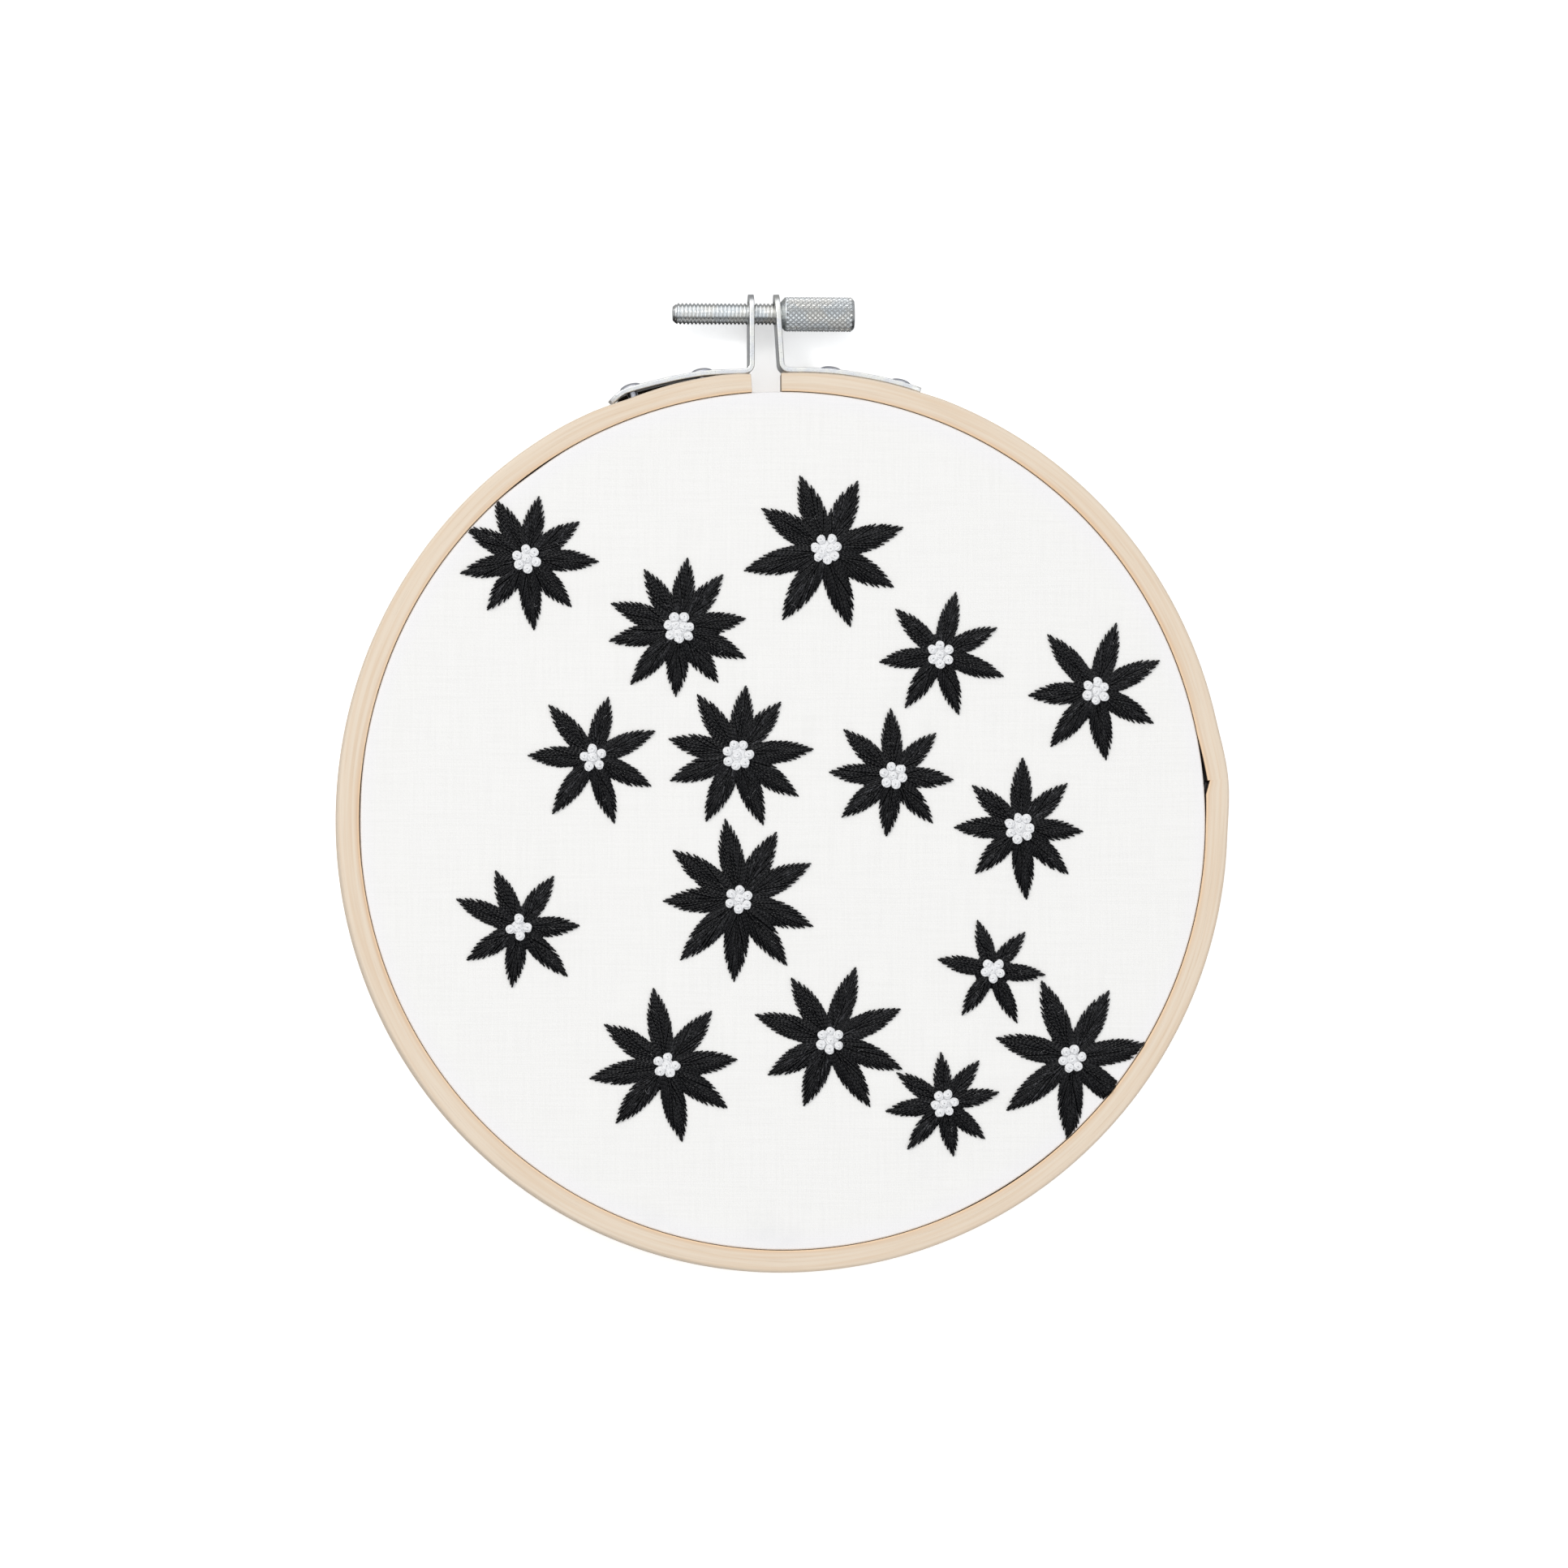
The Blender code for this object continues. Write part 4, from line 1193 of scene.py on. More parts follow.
def all_petals() -> list[list[Petal]]:
    """The petals of every flower, drawn in the same order as the plain solids' petals.

    Returns:
        A list of petals for each flower.
    """
    spread = random.Random(7)
    made = []
    for flower in FLOWERS:
        step = tau / flower.petals
        reach = flower.reach * MM
        petals = []
        for i in range(flower.petals):
            angle = radians(flower.turn) + i * step + radians(5.0) * spread.uniform(-1.0, 1.0)
            length = reach * (1.0 + 0.07 * spread.uniform(-1.0, 1.0))
            petals.append(Petal(tuple(flower.middle()), angle, length, reach))
        made.append(petals)
    return made


class StitchBook:
    """Collects stitch lines and plates of one host mesh, ready for a geometry tree."""

    def __init__(self) -> None:
        """Start with nothing stitched."""
        self.points: list[tuple] = []
        self.edges: list[tuple] = []
        self.faces: list[tuple] = []
        self.marked: list[bool] = []
        self.tones: list[float] = []

    def line(self, points: Sequence[tuple], tone: float) -> None:
        """Add a stitch.

        Args:
            points: Its points.
            tone: How much worn fuzz and painted sheen its thread shows, from 0 to 1.
        """
        start = len(self.points)
        self.points += [tuple(point) for point in points]
        self.edges += [(start + i, start + i + 1) for i in range(len(points) - 1)]
        self.marked += [True] * len(points)
        self.tones += [tone] * len(points)

    def plate(self, rows: Sequence[Sequence[tuple]]) -> None:
        """Add a closed pad from its foot, its shoulders and its top.

        Args:
            rows: Outlines of the same number of points, from the lowest to the highest.
        """
        start, wide = len(self.points), len(rows[0])
        for row in rows:
            self.points += [tuple(point) for point in row]
            self.marked += [False] * wide
            self.tones += [0.2] * wide
        top = start + (len(rows) - 1) * wide
        for low in range(start, top, wide):
            for i in range(wide):
                j = (i + 1) % wide
                self.faces.append((low + i, low + j, low + wide + j, low + wide + i))
        self.faces.append(tuple(range(top, top + wide)))
        self.faces.append(tuple(reversed(range(start, start + wide))))

    def mesh(self, name: str) -> Mesh:
        """The collected lines and plates as a mesh with its attributes.

        Args:
            name: The mesh's name.

        Returns:
            The mesh.
        """
        made = bpy.data.meshes.new(name)
        made.from_pydata(self.points, self.edges, self.faces)
        Workshop.note(made, stitch=np.array(self.marked), tone=np.array(self.tones))
        return made

    def threads(self, name: str, slot: str, cotton: Material, make: tuple,
                nodes: Sequence[str] = ()) -> None:
        """Turn the lines into threads and fit them, with the plates, as one piece.

        Args:
            name: The piece's name.
            slot: Its material slot.
            cotton: The threads' material.
            make: Their radius, points and sides, how far they wave and how finely.
            nodes: The plain solids that the piece stands for.
        """
        piece = Workshop.hang(name, self.mesh(name))
        values = dict(zip(("Radius", "Points", "Sides", "Waviness", "Wave Fineness"), make))
        Workshop.grow(piece, TreeShop.thread(), {**values, "Material": cotton})
        Workshop.fit(piece, slot, nodes)


@dataclass
class StitchedFlowers:
    """Sixteen star flowers in black thread: slanted stitches that meet along each petal's middle."""

    thread_radius: float = 0.2 * MM
    stitch_share: float = 0.42
    tooth_pitch: float = 0.88 * MM
    first_end: float = 0.2
    crown: float = 0.42 * MM
    unevenness: float = 0.07 * MM
    heart_share: float = 0.36
    sheen_angle: float = 50.0
    plate_inset: float = 0.36 * MM
    rim_margin: float = 0.0
    seed: int = 21
    finish: TwistedThread = field(default_factory=TwistedThread)

    def stitch(self, book: StitchBook, petal: Petal, start: tuple, end: tuple, rng: random.Random) -> None:
        """Add one stitch that rises out of the cloth and goes back into it.

        Args:
            book: Where it is kept.
            petal: The petal.
            start: Share along the petal and distance across it.
            end: The same for its other end.
            rng: The unevenness.
        """
        bow = rng.uniform(-0.6, 1.0) * self.unevenness
        base = FORM.cloth_z + self.thread_radius * 0.9
        points = []
        for t, rise in ((0.0, 0.62), (0.25, 1.0), (0.6, 0.82), (0.9, 0.3), (1.0, -0.35)):
            share = start[0] + (end[0] - start[0]) * t
            across = start[1] + (end[1] - start[1]) * t + bow * sin(pi * t)
            room = 1.0 - 0.55 * abs(across) / petal.half_width(min(share, 0.9))
            height = base + self.crown * rise * max(0.25, room) + rng.uniform(-0.02, 0.02) * MM
            points.append((*petal.at(share, across), height))
        placed = FORM.kept_inside(points, self.rim_margin)
        # Painted sheen: petals pointing along the sheen angle, either way, get a higher tone and more light
        # dashes.
        facing = max(0.0, cos(2.0 * (petal.angle - radians(self.sheen_angle))))
        book.line(placed, rng.uniform(0.2, 1.0) * (0.25 + 0.75 * facing))

    def stitch_petal(self, book: StitchBook, petal: Petal, rng: random.Random) -> None:
        """Add the stitches of one petal.

        Args:
            book: Where they are kept.
            petal: The petal.
            rng: The unevenness.
        """
        count = max(6, round(petal.length * (1.0 - self.first_end) / self.tooth_pitch))
        for side in (-1.0, 1.0):
            offset = 0.5 * (side + 1.0) / 2.0
            for j in range(count):
                end = self.first_end + (1.0 - self.first_end) * (j + 0.5 + offset) / count
                end = min(0.99, end + rng.uniform(-0.012, 0.012))
                start = max(0.04, end - self.stitch_share + rng.uniform(-0.03, 0.03))
                tip = side * (petal.half_width(end) + rng.uniform(-0.5, 1.0) * self.unevenness)
                root = side * petal.half_width(min(0.8, start)) * rng.uniform(0.06, 0.2)
                self.stitch(book, petal, (start, root), (end, tip), rng)
        for start, end in ((0.12, 0.5), (0.4, 0.8), (0.62, 1.0)):
            lean = rng.uniform(-0.6, 0.6) * self.thread_radius
            self.stitch(book, petal, (start, lean), (end, -lean * 0.3), rng)

    def leaf(self, petal: Petal, inset: float, height: float) -> list[tuple]:
        """The line round one petal's pad, from its root along one side to its tip and back.

        Args:
            petal: The petal.
            inset: How far inside the petal's edge the line runs.
            height: The line's height.

        Returns:
            The line's points.
        """
        shares = (0.05, 0.3, 0.42, 0.54, 0.66, 0.78, 0.88)
        sides = [(share, max(0.06 * MM, petal.half_width(share) - inset)) for share in shares]
        tip = [(1.0 - 1.6 * inset / petal.length, 0.0)]
        line = [petal.at(share, -across) for share, across in sides]
        line += [petal.at(*place) for place in tip]
        line += [petal.at(share, across) for share, across in reversed(sides)]
        return FORM.kept_inside([(*spot, height) for spot in line], self.rim_margin + 0.1 * MM)

    def pad(self, book: StitchBook, petals: list[Petal], reach: float) -> None:
        """Add the dark padding under a flower's stitches: a leaf under each petal and a round heart.

        Args:
            book: Where it is kept.
            petals: The flower's petals.
            reach: The flower's nominal reach.
        """
        low, high = FORM.cloth_z - 0.05 * MM, FORM.cloth_z + self.crown * 0.7
        for i, petal in enumerate(petals):
            step = 0.004 * MM * i
            foot = self.leaf(petal, self.plate_inset, low - step)
            top = self.leaf(petal, self.plate_inset * 2.2, high - step)
            book.plate([foot, top])
        rows = []
        for share, height in ((1.0, low - 0.05 * MM), (0.94, high + 0.02 * MM)):
            radius = reach * self.heart_share * 0.95 * share
            turns = [tau * i / 24 for i in range(24)]
            x, y = petals[0].middle
            line = [(x + radius * cos(turn), y + radius * sin(turn), height) for turn in turns]
            rows.append(FORM.kept_inside(line, self.rim_margin + 0.1 * MM))
        book.plate(rows)

    def build(self) -> None:
        """Stitch every flower and fit it."""
        rng = random.Random(self.seed)
        cotton = self.finish.material("black_cotton")
        make = (self.thread_radius, 8, 6, self.unevenness, 900.0)
        for number, (flower, petals) in enumerate(zip(FLOWERS, all_petals()), start=1):
            book = StitchBook()
            self.pad(book, petals, flower.reach * MM)
            for petal in petals:
                self.stitch_petal(book, petal, rng)
            name = f"stitched_flower_{number:02d}"
            book.threads(name, "black_thread", cotton, make, [f"flower_{number:02d}"])


@dataclass
class ReverseStitches:
    """What the stitches leave on the cloth's back: short slanted threads, kept off the inner ring."""

    thread_radius: float = 0.24 * MM
    level: float = 8.27 * MM
    rows: int = 7
    reach_limit: float = 69.3 * MM
    seed: int = 5
    finish: TwistedThread = field(default_factory=TwistedThread)

    def build(self) -> None:
        """Lay the threads and fit them."""
        rng = random.Random(self.seed)
        book = StitchBook()
        for petals in all_petals():
            for petal in petals:
                for row in range(self.rows):
                    for side in (-1.0, 1.0):
                        self.lay(book, petal, row, side, rng)
        make = (self.thread_radius, 5, 5, 0.1 * MM, 700.0)
        book.threads("reverse_stitches", "black_thread", self.finish.material("black_cotton"), make)

    def lay(self, book: StitchBook, petal: Petal, row: int, side: float, rng: random.Random) -> None:
        """Lay one thread from a petal's edge back to its middle.

        Args:
            book: Where it is kept.
            petal: The petal.
            row: Which of the petal's rows.
            side: Which side of its middle, -1 or 1.
            rng: The unevenness.
        """
        end = 0.16 + 0.8 * (row + 0.5 + 0.25 * side) / self.rows + rng.uniform(-0.02, 0.02)
        start = max(0.02, end - 0.2)
        tip = side * petal.half_width(end) * 0.96
        spots = [petal.at(start + (end - start) * t, tip * t) for t in (0.0, 0.5, 1.0)]
        away = [hypot(x - FORM.middle[0], y - FORM.middle[1]) for x, y in spots]
        if max(away) > self.reach_limit:
            return
        heights = (self.level, self.level - rng.uniform(0.05, 0.16) * MM, self.level + 0.1 * MM)
        book.line([(*spot, z) for spot, z in zip(spots, heights)], rng.uniform(0.2, 0.9))


@dataclass
class FrenchKnots:
    """Clusters of wound knots in off-white thread, one cluster in each flower's middle."""

    pitch: float = 1.72 * MM
    seat: float = 9.42 * MM
    thread_radius: float = 0.32 * MM
    jitter: float = 0.13 * MM
    pad_radius_share: float = 0.95
    seed: int = 11
    finish: TwistedThread = field(
        default_factory=lambda: TwistedThread(
            deep=(0.83, 0.83, 0.84), wear_and_sheen=(0.92, 0.92, 0.92), roughness=0.7, specular=0.3, sheen=0.15
        )
    )

    def places(self, knots: int) -> list[tuple[float, float]]:
        """Middles of a cluster's knots about its own middle: one to three inside and the rest round them.

        Args:
            knots: How many knots.

        Returns:
            Their places.
        """
        inner = max(1, knots - 7)
        outer = knots - inner
        core = self.pitch * (0.0, 0.0, 0.48, 0.6)[inner]
        rim = max(self.pitch * 0.9 + core * 0.5, self.pitch / (2.0 * sin(pi / outer)))
        made = [(core, tau * i / inner) for i in range(inner)]
        made += [(rim, tau * i / outer) for i in range(outer)]
        return [(away * cos(turn), away * sin(turn)) for away, turn in made]

    def build(self) -> None:
        """Wind every knot and fit them."""
        rng = random.Random(self.seed)
        book = StitchBook()
        turns: list[tuple] = []
        sizes: list[tuple] = []
        for flower in FLOWERS:
            x, y = flower.middle()
            lean = radians(flower.turn)
            places = self.places(flower.knots)
            for near, far in places:
                px = x + near * cos(lean) - far * sin(lean) + rng.uniform(-1, 1) * self.jitter
                py = y + near * sin(lean) + far * cos(lean) + rng.uniform(-1, 1) * self.jitter
                book.line([(px, py, self.seat + rng.uniform(-0.05, 0.06) * MM)], 0.5)
                turns.append((rng.uniform(-0.16, 0.16), rng.uniform(-0.16, 0.16), rng.uniform(0.0, tau)))
                size = rng.uniform(0.93, 1.05)
                sizes.append((size, size * rng.uniform(0.94, 1.0), size))
            wide = max(hypot(*place) for place in places) * self.pad_radius_share
            levels = (wide, self.seat - 0.4 * MM), (wide * 0.9, self.seat + 0.03 * MM)
            circle = [(cos(i * pi / 10), sin(i * pi / 10)) for i in range(20)]
            book.plate([[(x + radius * c, y + radius * d, z) for c, d in circle] for radius, z in levels])
            turns += [(0.0, 0.0, 0.0)] * 40
            sizes += [(1.0, 1.0, 1.0)] * 40
        mesh = book.mesh("french_knots")
        Workshop.note(mesh, turn=np.array(turns), size=np.array(sizes))
        piece = Workshop.hang("french_knots", mesh)
        values = {
            "Turns": 2.3, "Outer Radius": 0.72 * MM, "Inner Radius": 0.1 * MM, "Rise": 0.6 * MM,
            "Dip": 0.3 * MM, "Thread Radius": self.thread_radius, "Steps": 14, "Sides": 8,
            "Material": self.finish.material("white_cotton"),
        }
        Workshop.grow(piece, TreeShop.knots(), values)
        nodes = [f"knots_{number:02d}" for number in range(1, len(FLOWERS) + 1)]
        Workshop.fit(piece, "white_thread", nodes)


@dataclass
class LooseFibres:
    """A few curly hairs of lint that lie on the black stitches."""

    per_flower: int = 3
    radius: float = 0.022 * MM
    level: float = 9.42 * MM
    seed: int = 3
    finish: TwistedThread = field(
        default_factory=lambda: TwistedThread(deep=(0.35, 0.35, 0.36), wear_and_sheen=(0.7, 0.7, 0.7), roughness=0.6)
    )

    def build(self) -> None:
        """Scatter the fibres and fit them."""
        rng = random.Random(self.seed)
        book = StitchBook()
        for petals in all_petals():
            for _ in range(self.per_flower):
                petal = rng.choice(petals)
                share, across = rng.uniform(0.4, 0.8), rng.uniform(-0.4, 0.4) * petal.half_width(0.6)
                heading, bend = rng.uniform(0.0, tau), rng.uniform(-1.4, 1.4)
                x, y = petal.at(share, across)
                points = []
                for step in range(6):
                    points.append((x, y, self.level + rng.uniform(-0.02, 0.08) * MM))
                    length = rng.uniform(0.1, 0.3) * MM
                    x, y = x + cos(heading) * length, y + sin(heading) * length
                    heading += bend * 0.5 + rng.uniform(-0.5, 0.5)
                book.line(FORM.kept_inside(points, 0.5 * MM), rng.uniform(0.3, 1.0))
        make = (self.radius, 12, 4, 0.05 * MM, 1500.0)
        book.threads("loose_fibres", "white_thread", self.finish.material("lint"), make)


@dataclass
class GroundCloth:
    """The cotton ground: flat over the inner ring, turned down over its edge and on between the rings."""

    columns: int = 320
    row_step: float = 1.0 * MM
    thickness: float = 0.3 * MM
    edge_round: float = 0.4 * MM
    edge_gap: float = 0.09 * MM
    hem: float = 1.25 * MM
    pucker: float = 0.07 * MM
    gap_places: tuple = ((126.0, 4.0, 0.18 * MM), (179.0, 6.0, 0.11 * MM), (302.0, 8.0, 0.10 * MM))
    flat: tuple[float, float] = (0.1660, 0.1680)
    flat_area: float = 0.0217
    finish: GroundCotton = field(default_factory=GroundCotton)

    def widened(self, degrees: Array) -> Array:
        """How much the gap to the wood is wider than elsewhere, in a few places round the hoop."""
        swells = (most * np.exp(-(((degrees - at) / reach) ** 2)) for at, reach, most in self.gap_places)
        return sum(swells)

    def puckered(self, x: Array, y: Array) -> Array:
        """How far the stitches pull the cloth up and down.

        Args:
            x: Places across the frame.
            y: Places up the frame.

        Returns:
            The heights, about nought.
        """
        lift = np.zeros_like(x)
        for flower in FLOWERS:
            middle = flower.middle()
            dx, dy = x - middle[0], y - middle[1]
            away, turn = np.hypot(dx, dy), np.arctan2(dy, dx)
            ring = np.exp(-(((away - flower.reach * MM) / (3.2 * MM)) ** 2))
            lift -= self.pucker * ring * np.cos(flower.petals * (turn - radians(flower.turn)))
        return lift

    def build(self) -> None:
        turn = np.linspace(0.0, tau, self.columns, endpoint=False)
        rim = FORM.radius(turn) - FORM.wall - self.edge_gap - self.widened(np.degrees(turn))
        flat_reach = rim - self.edge_round
        rows = round(float(flat_reach.mean()) / self.row_step)
        face = [share * flat_reach for share in np.arange(1, rows + 1) / rows]
        rings = [(reach, FORM.cloth_z, reach) for reach in face]
        run = flat_reach
        for step in range(1, 6):
            bend = pi / 2 * step / 5
            run = run + self.edge_round * pi / 10
            level = FORM.cloth_z - self.edge_round * (1.0 - cos(bend))
            rings.append((flat_reach + self.edge_round * sin(bend), level, run))
        near = FORM.cloth_z - self.edge_round
        for level in np.linspace(near, self.hem, 9)[1:]:
            run = run + (near - level)
            near = level
            rings.append((rim, level, run))
        grids = (np.array([np.broadcast_to(part, turn.shape) for part in parts]) for parts in zip(*rings))
        radius, height, cut = grids
        x = FORM.middle[0] + radius * np.cos(turn)
        y = FORM.middle[1] + radius * np.sin(turn)
        fade = np.clip((flat_reach - radius) / (2.0 * MM), 0.0, 1.0)
        points = np.stack((x, y, height + self.puckered(x, y) * fade), -1)
        mesh = Workshop.grid_mesh("ground_cloth", points, wrap=True)
        uv = np.stack((cut * np.cos(turn), cut * np.sin(turn)), -1).reshape(-1, 2)
        piece = self.closed_middle(mesh, uv)
        thick = piece.modifiers.new("thickness", "SOLIDIFY")
        thick.thickness, thick.offset = self.thickness, -1.0
        Workshop.apply(piece)
        piece.data.shade_smooth()
        piece.data.materials.clear()
        piece.data.materials.append(self.finish.material("ground_cotton"))
        Workshop.fit(piece, "cloth", ["cloth"])

    def closed_middle(self, mesh: Mesh, uv: Array) -> Object:
        """Close the cloth's middle and lay its flat cut over it.

        Args:
            mesh: The cloth's rings, the innermost first.
            uv: Each point's place on the flat cut.

        Returns:
            The cloth's object, its faces up.
        """
        shape = bmesh.new()
        shape.from_mesh(mesh)
        first = list(shape.verts)[: self.columns]
        middle = shape.verts.new((FORM.middle[0], FORM.middle[1], FORM.cloth_z))
        for here, after in zip(first, first[1:] + first[:1]):
            shape.faces.new((middle, here, after))
        shape.verts.index_update()
        bmesh.ops.recalc_face_normals(shape, faces=shape.faces)
        if next(iter(shape.faces)).normal.z < 0.0:
            bmesh.ops.reverse_faces(shape, faces=shape.faces)
        places = np.vstack((uv, ((0.0, 0.0),)))
        layer = shape.loops.layers.uv.new("cut")
        for face in shape.faces:
            for loop in face.loops:
                loop[layer].uv = places[loop.vert.index]
        shape.to_mesh(mesh)
        shape.free()
        return Workshop.hang("ground_cloth", mesh)


# Metal


class Hand(Enum):
    """The two sides of the split."""

    LEFT = "left"
    RIGHT = "right"


@dataclass
class ClosingBracket:
    """A bent zinc strip: an ear with a half-round top, a bend, and a foot riveted to the wood."""

    hand: Hand
    thickness: float = 0.95 * MM
    width: float = 7.0 * MM
    lift: float = 0.02 * MM
    screw_y: float = 90.9 * MM
    foot_y: float = 83.5 * MM
    left_ear_x: float = -5.58 * MM
    right_ear_x: tuple[float, float] = (-1.05 * MM, -0.35 * MM)
    bend: float = 1.3 * MM
    left_gaps: tuple = (
        (-10.6, 0.06), (-14.0, 0.33), (-18.1, 0.5), (-22.2, 0.67), (-25.2, 0.88), (-28.4, 1.12),
    )
    curl_x: float = -30.6 * MM
    right_end: float = 72.2
    hole: float = 2.3 * MM
    far_thickening: float = 0.02
    foot_length: float = 22.0 * MM
    edge: float = 0.24 * MM
    finish: ZincPlate = field(default_factory=lambda: ZincPlate(
        blue=(0.70, 0.71, 0.73), warm=(0.78, 0.78, 0.75), dull=(0.36, 0.37, 0.35), roughness=0.3,
        groove=(0.02, 0.018, 0.015), recess_shade_share=0.97, mark_share=0.7, depth=0.06 * MM, mark_size=0.2 * MM))

    def seat(self, x: float, over: float = 0.0) -> tuple[float, float]:
        """The strip's middle line over the wood.

        Args:
            x: How far right of the hoop's middle.
            over: The gap between strip and wood.

        Returns:
            Its x and y in the frame.
        """
        turn = FORM.turn_at(x)
        planed = float(FORM.planed(np.degrees(turn)))
        spot = FORM.point(turn, planed - self.lift - over - self.thickness / 2, 0.0)
        return float(spot[0]), float(spot[1])

    def path(self) -> Array:
        """The strip's middle line, from the ear's top to its far end.

        Returns:
            Rows of x and y.
        """
        mx, my = FORM.middle
        top = my + self.screw_y + self.width / 2
        ear_steps = [top - self.width / 2 * (1.0 - cos(pi / 2 * i / 10)) for i in range(11)]
        if self.hand is Hand.LEFT:
            high, lean = self.left_ear_x, 0.0
            foot_y = self.seat(high - self.bend)[1]
            lifted = [self.seat(place * MM, gap * MM) for place, gap in self.left_gaps]
            along = Section.softened([*lifted, self.seat(self.curl_x)], 1.3 * MM, 6)
        else:
            high, low = self.right_ear_x
            lean = (low - high) / (top - my - self.foot_y)
            foot_y = self.seat(low + self.bend)[1]
            turns = np.linspace(87.2, self.right_end, 24)
            along = [self.seat(FORM.half_height * cos(radians(a))) for a in turns]
        ear = [(mx + high + (top - y) * lean, y) for y in ear_steps]
        x = mx + high + (top - foot_y) * lean
        above = (x - lean * 3.2 * MM, foot_y + 3.2 * MM)
        corner = Section.softened([above, (x, foot_y), along[0]], 1.8 * MM, 14)
        return np.array([tuple(point) for point in (*ear, *corner[:-1], *along)])

    def build(self) -> None:
        """Bend the strip, drill its ear, and fit it."""
        path = self.path()
        steps = np.hypot(*np.diff(path, axis=0).T)
        done = np.concatenate(([0.0], np.cumsum(steps)))
        left = done[-1] - done
        tangent = np.gradient(path, axis=0)
        tangent /= np.linalg.norm(tangent, axis=1)[:, None]
        side = np.stack((-tangent[:, 1], tangent[:, 0], np.zeros(len(path))), -1)
        half = self.width / 2
        ear = np.sqrt(np.maximum(0.0, half**2 - (half - np.minimum(done, half)) ** 2))
        foot = 0.8 * half + 0.2 * half * np.sqrt(np.clip(left / (1.5 * MM), 0.0, 1.0))
        tall = np.maximum(0.12 * half, np.minimum(ear, foot)) / half
        thickening = self.far_thickening if self.hand is Hand.LEFT else 0.0
        thick = 1.0 + thickening * np.clip(done / done[-1], 0.0, 1.0)
        stretch = np.stack((thick, tall, np.zeros(len(path))), -1)
        corner = (self.thickness / 2, half)
        outline = Section.rounded((-corner[0], -corner[1]), corner, (self.edge, self.edge), 4, 4)
        spots = np.column_stack((path, np.full(len(path), FORM.depth / 2)))
        name = f"bracket_strip_{self.hand.value}"
        piece = swept(name, spots, side, stretch, outline, self.finish.material("zinc_strip"), 60.0)
        self.drill(piece)
        self.shade_inside(piece, done[-1])
        Workshop.fit(piece, "zinc", [f"bracket_{self.hand.value}"])

    def shade_inside(self, piece: Object, length: float) -> None:
        """Mark the foot's face towards the wood for painted shade, which the finish makes dark and less
        metallic.

        Args:
            piece: The bracket.
            length: The strip's length.
        """
        grain = np.zeros(3 * len(piece.data.vertices))
        piece.data.attributes["grain"].data.foreach_get("vector", grain)
        run, across, up = grain.reshape(-1, 3).T
        towards = 1.0 if self.hand is Hand.LEFT else -1.0
        inside = (across * towards > self.thickness * 0.4) & (np.abs(up) < self.width * 0.47)
        foot = run > length - self.foot_length
        Workshop.note(piece.data, groove=(inside & foot).astype(float))

    def drill(self, piece: Object) -> None:
        """Cut the screw's hole through the ear.

        Args:
            piece: The bracket.
        """
        shape = bmesh.new()
        bmesh.ops.create_cone(
            shape, cap_ends=True, segments=40, radius1=self.hole, radius2=self.hole, depth=4.0 * MM
        )
        mesh = bpy.data.meshes.new("ear_drill")
        shape.to_mesh(mesh)
        shape.free()
        tool = Workshop.hang("ear_drill", mesh)
        x = self.left_ear_x if self.hand is Hand.LEFT else self.right_ear_x[0]
        place = Matrix.Translation((FORM.middle[0] + x, FORM.middle[1] + self.screw_y, FORM.depth / 2))
        mesh.transform(place @ Matrix.Rotation(pi / 2, 4, "Y"))
        cut = piece.modifiers.new("ear_hole", "BOOLEAN")
        cut.operation, cut.object, cut.solver = "DIFFERENCE", tool, "EXACT"
        Workshop.apply(piece)
        bpy.data.objects.remove(tool)
        piece.data.set_sharp_from_angle(angle=radians(50.0))


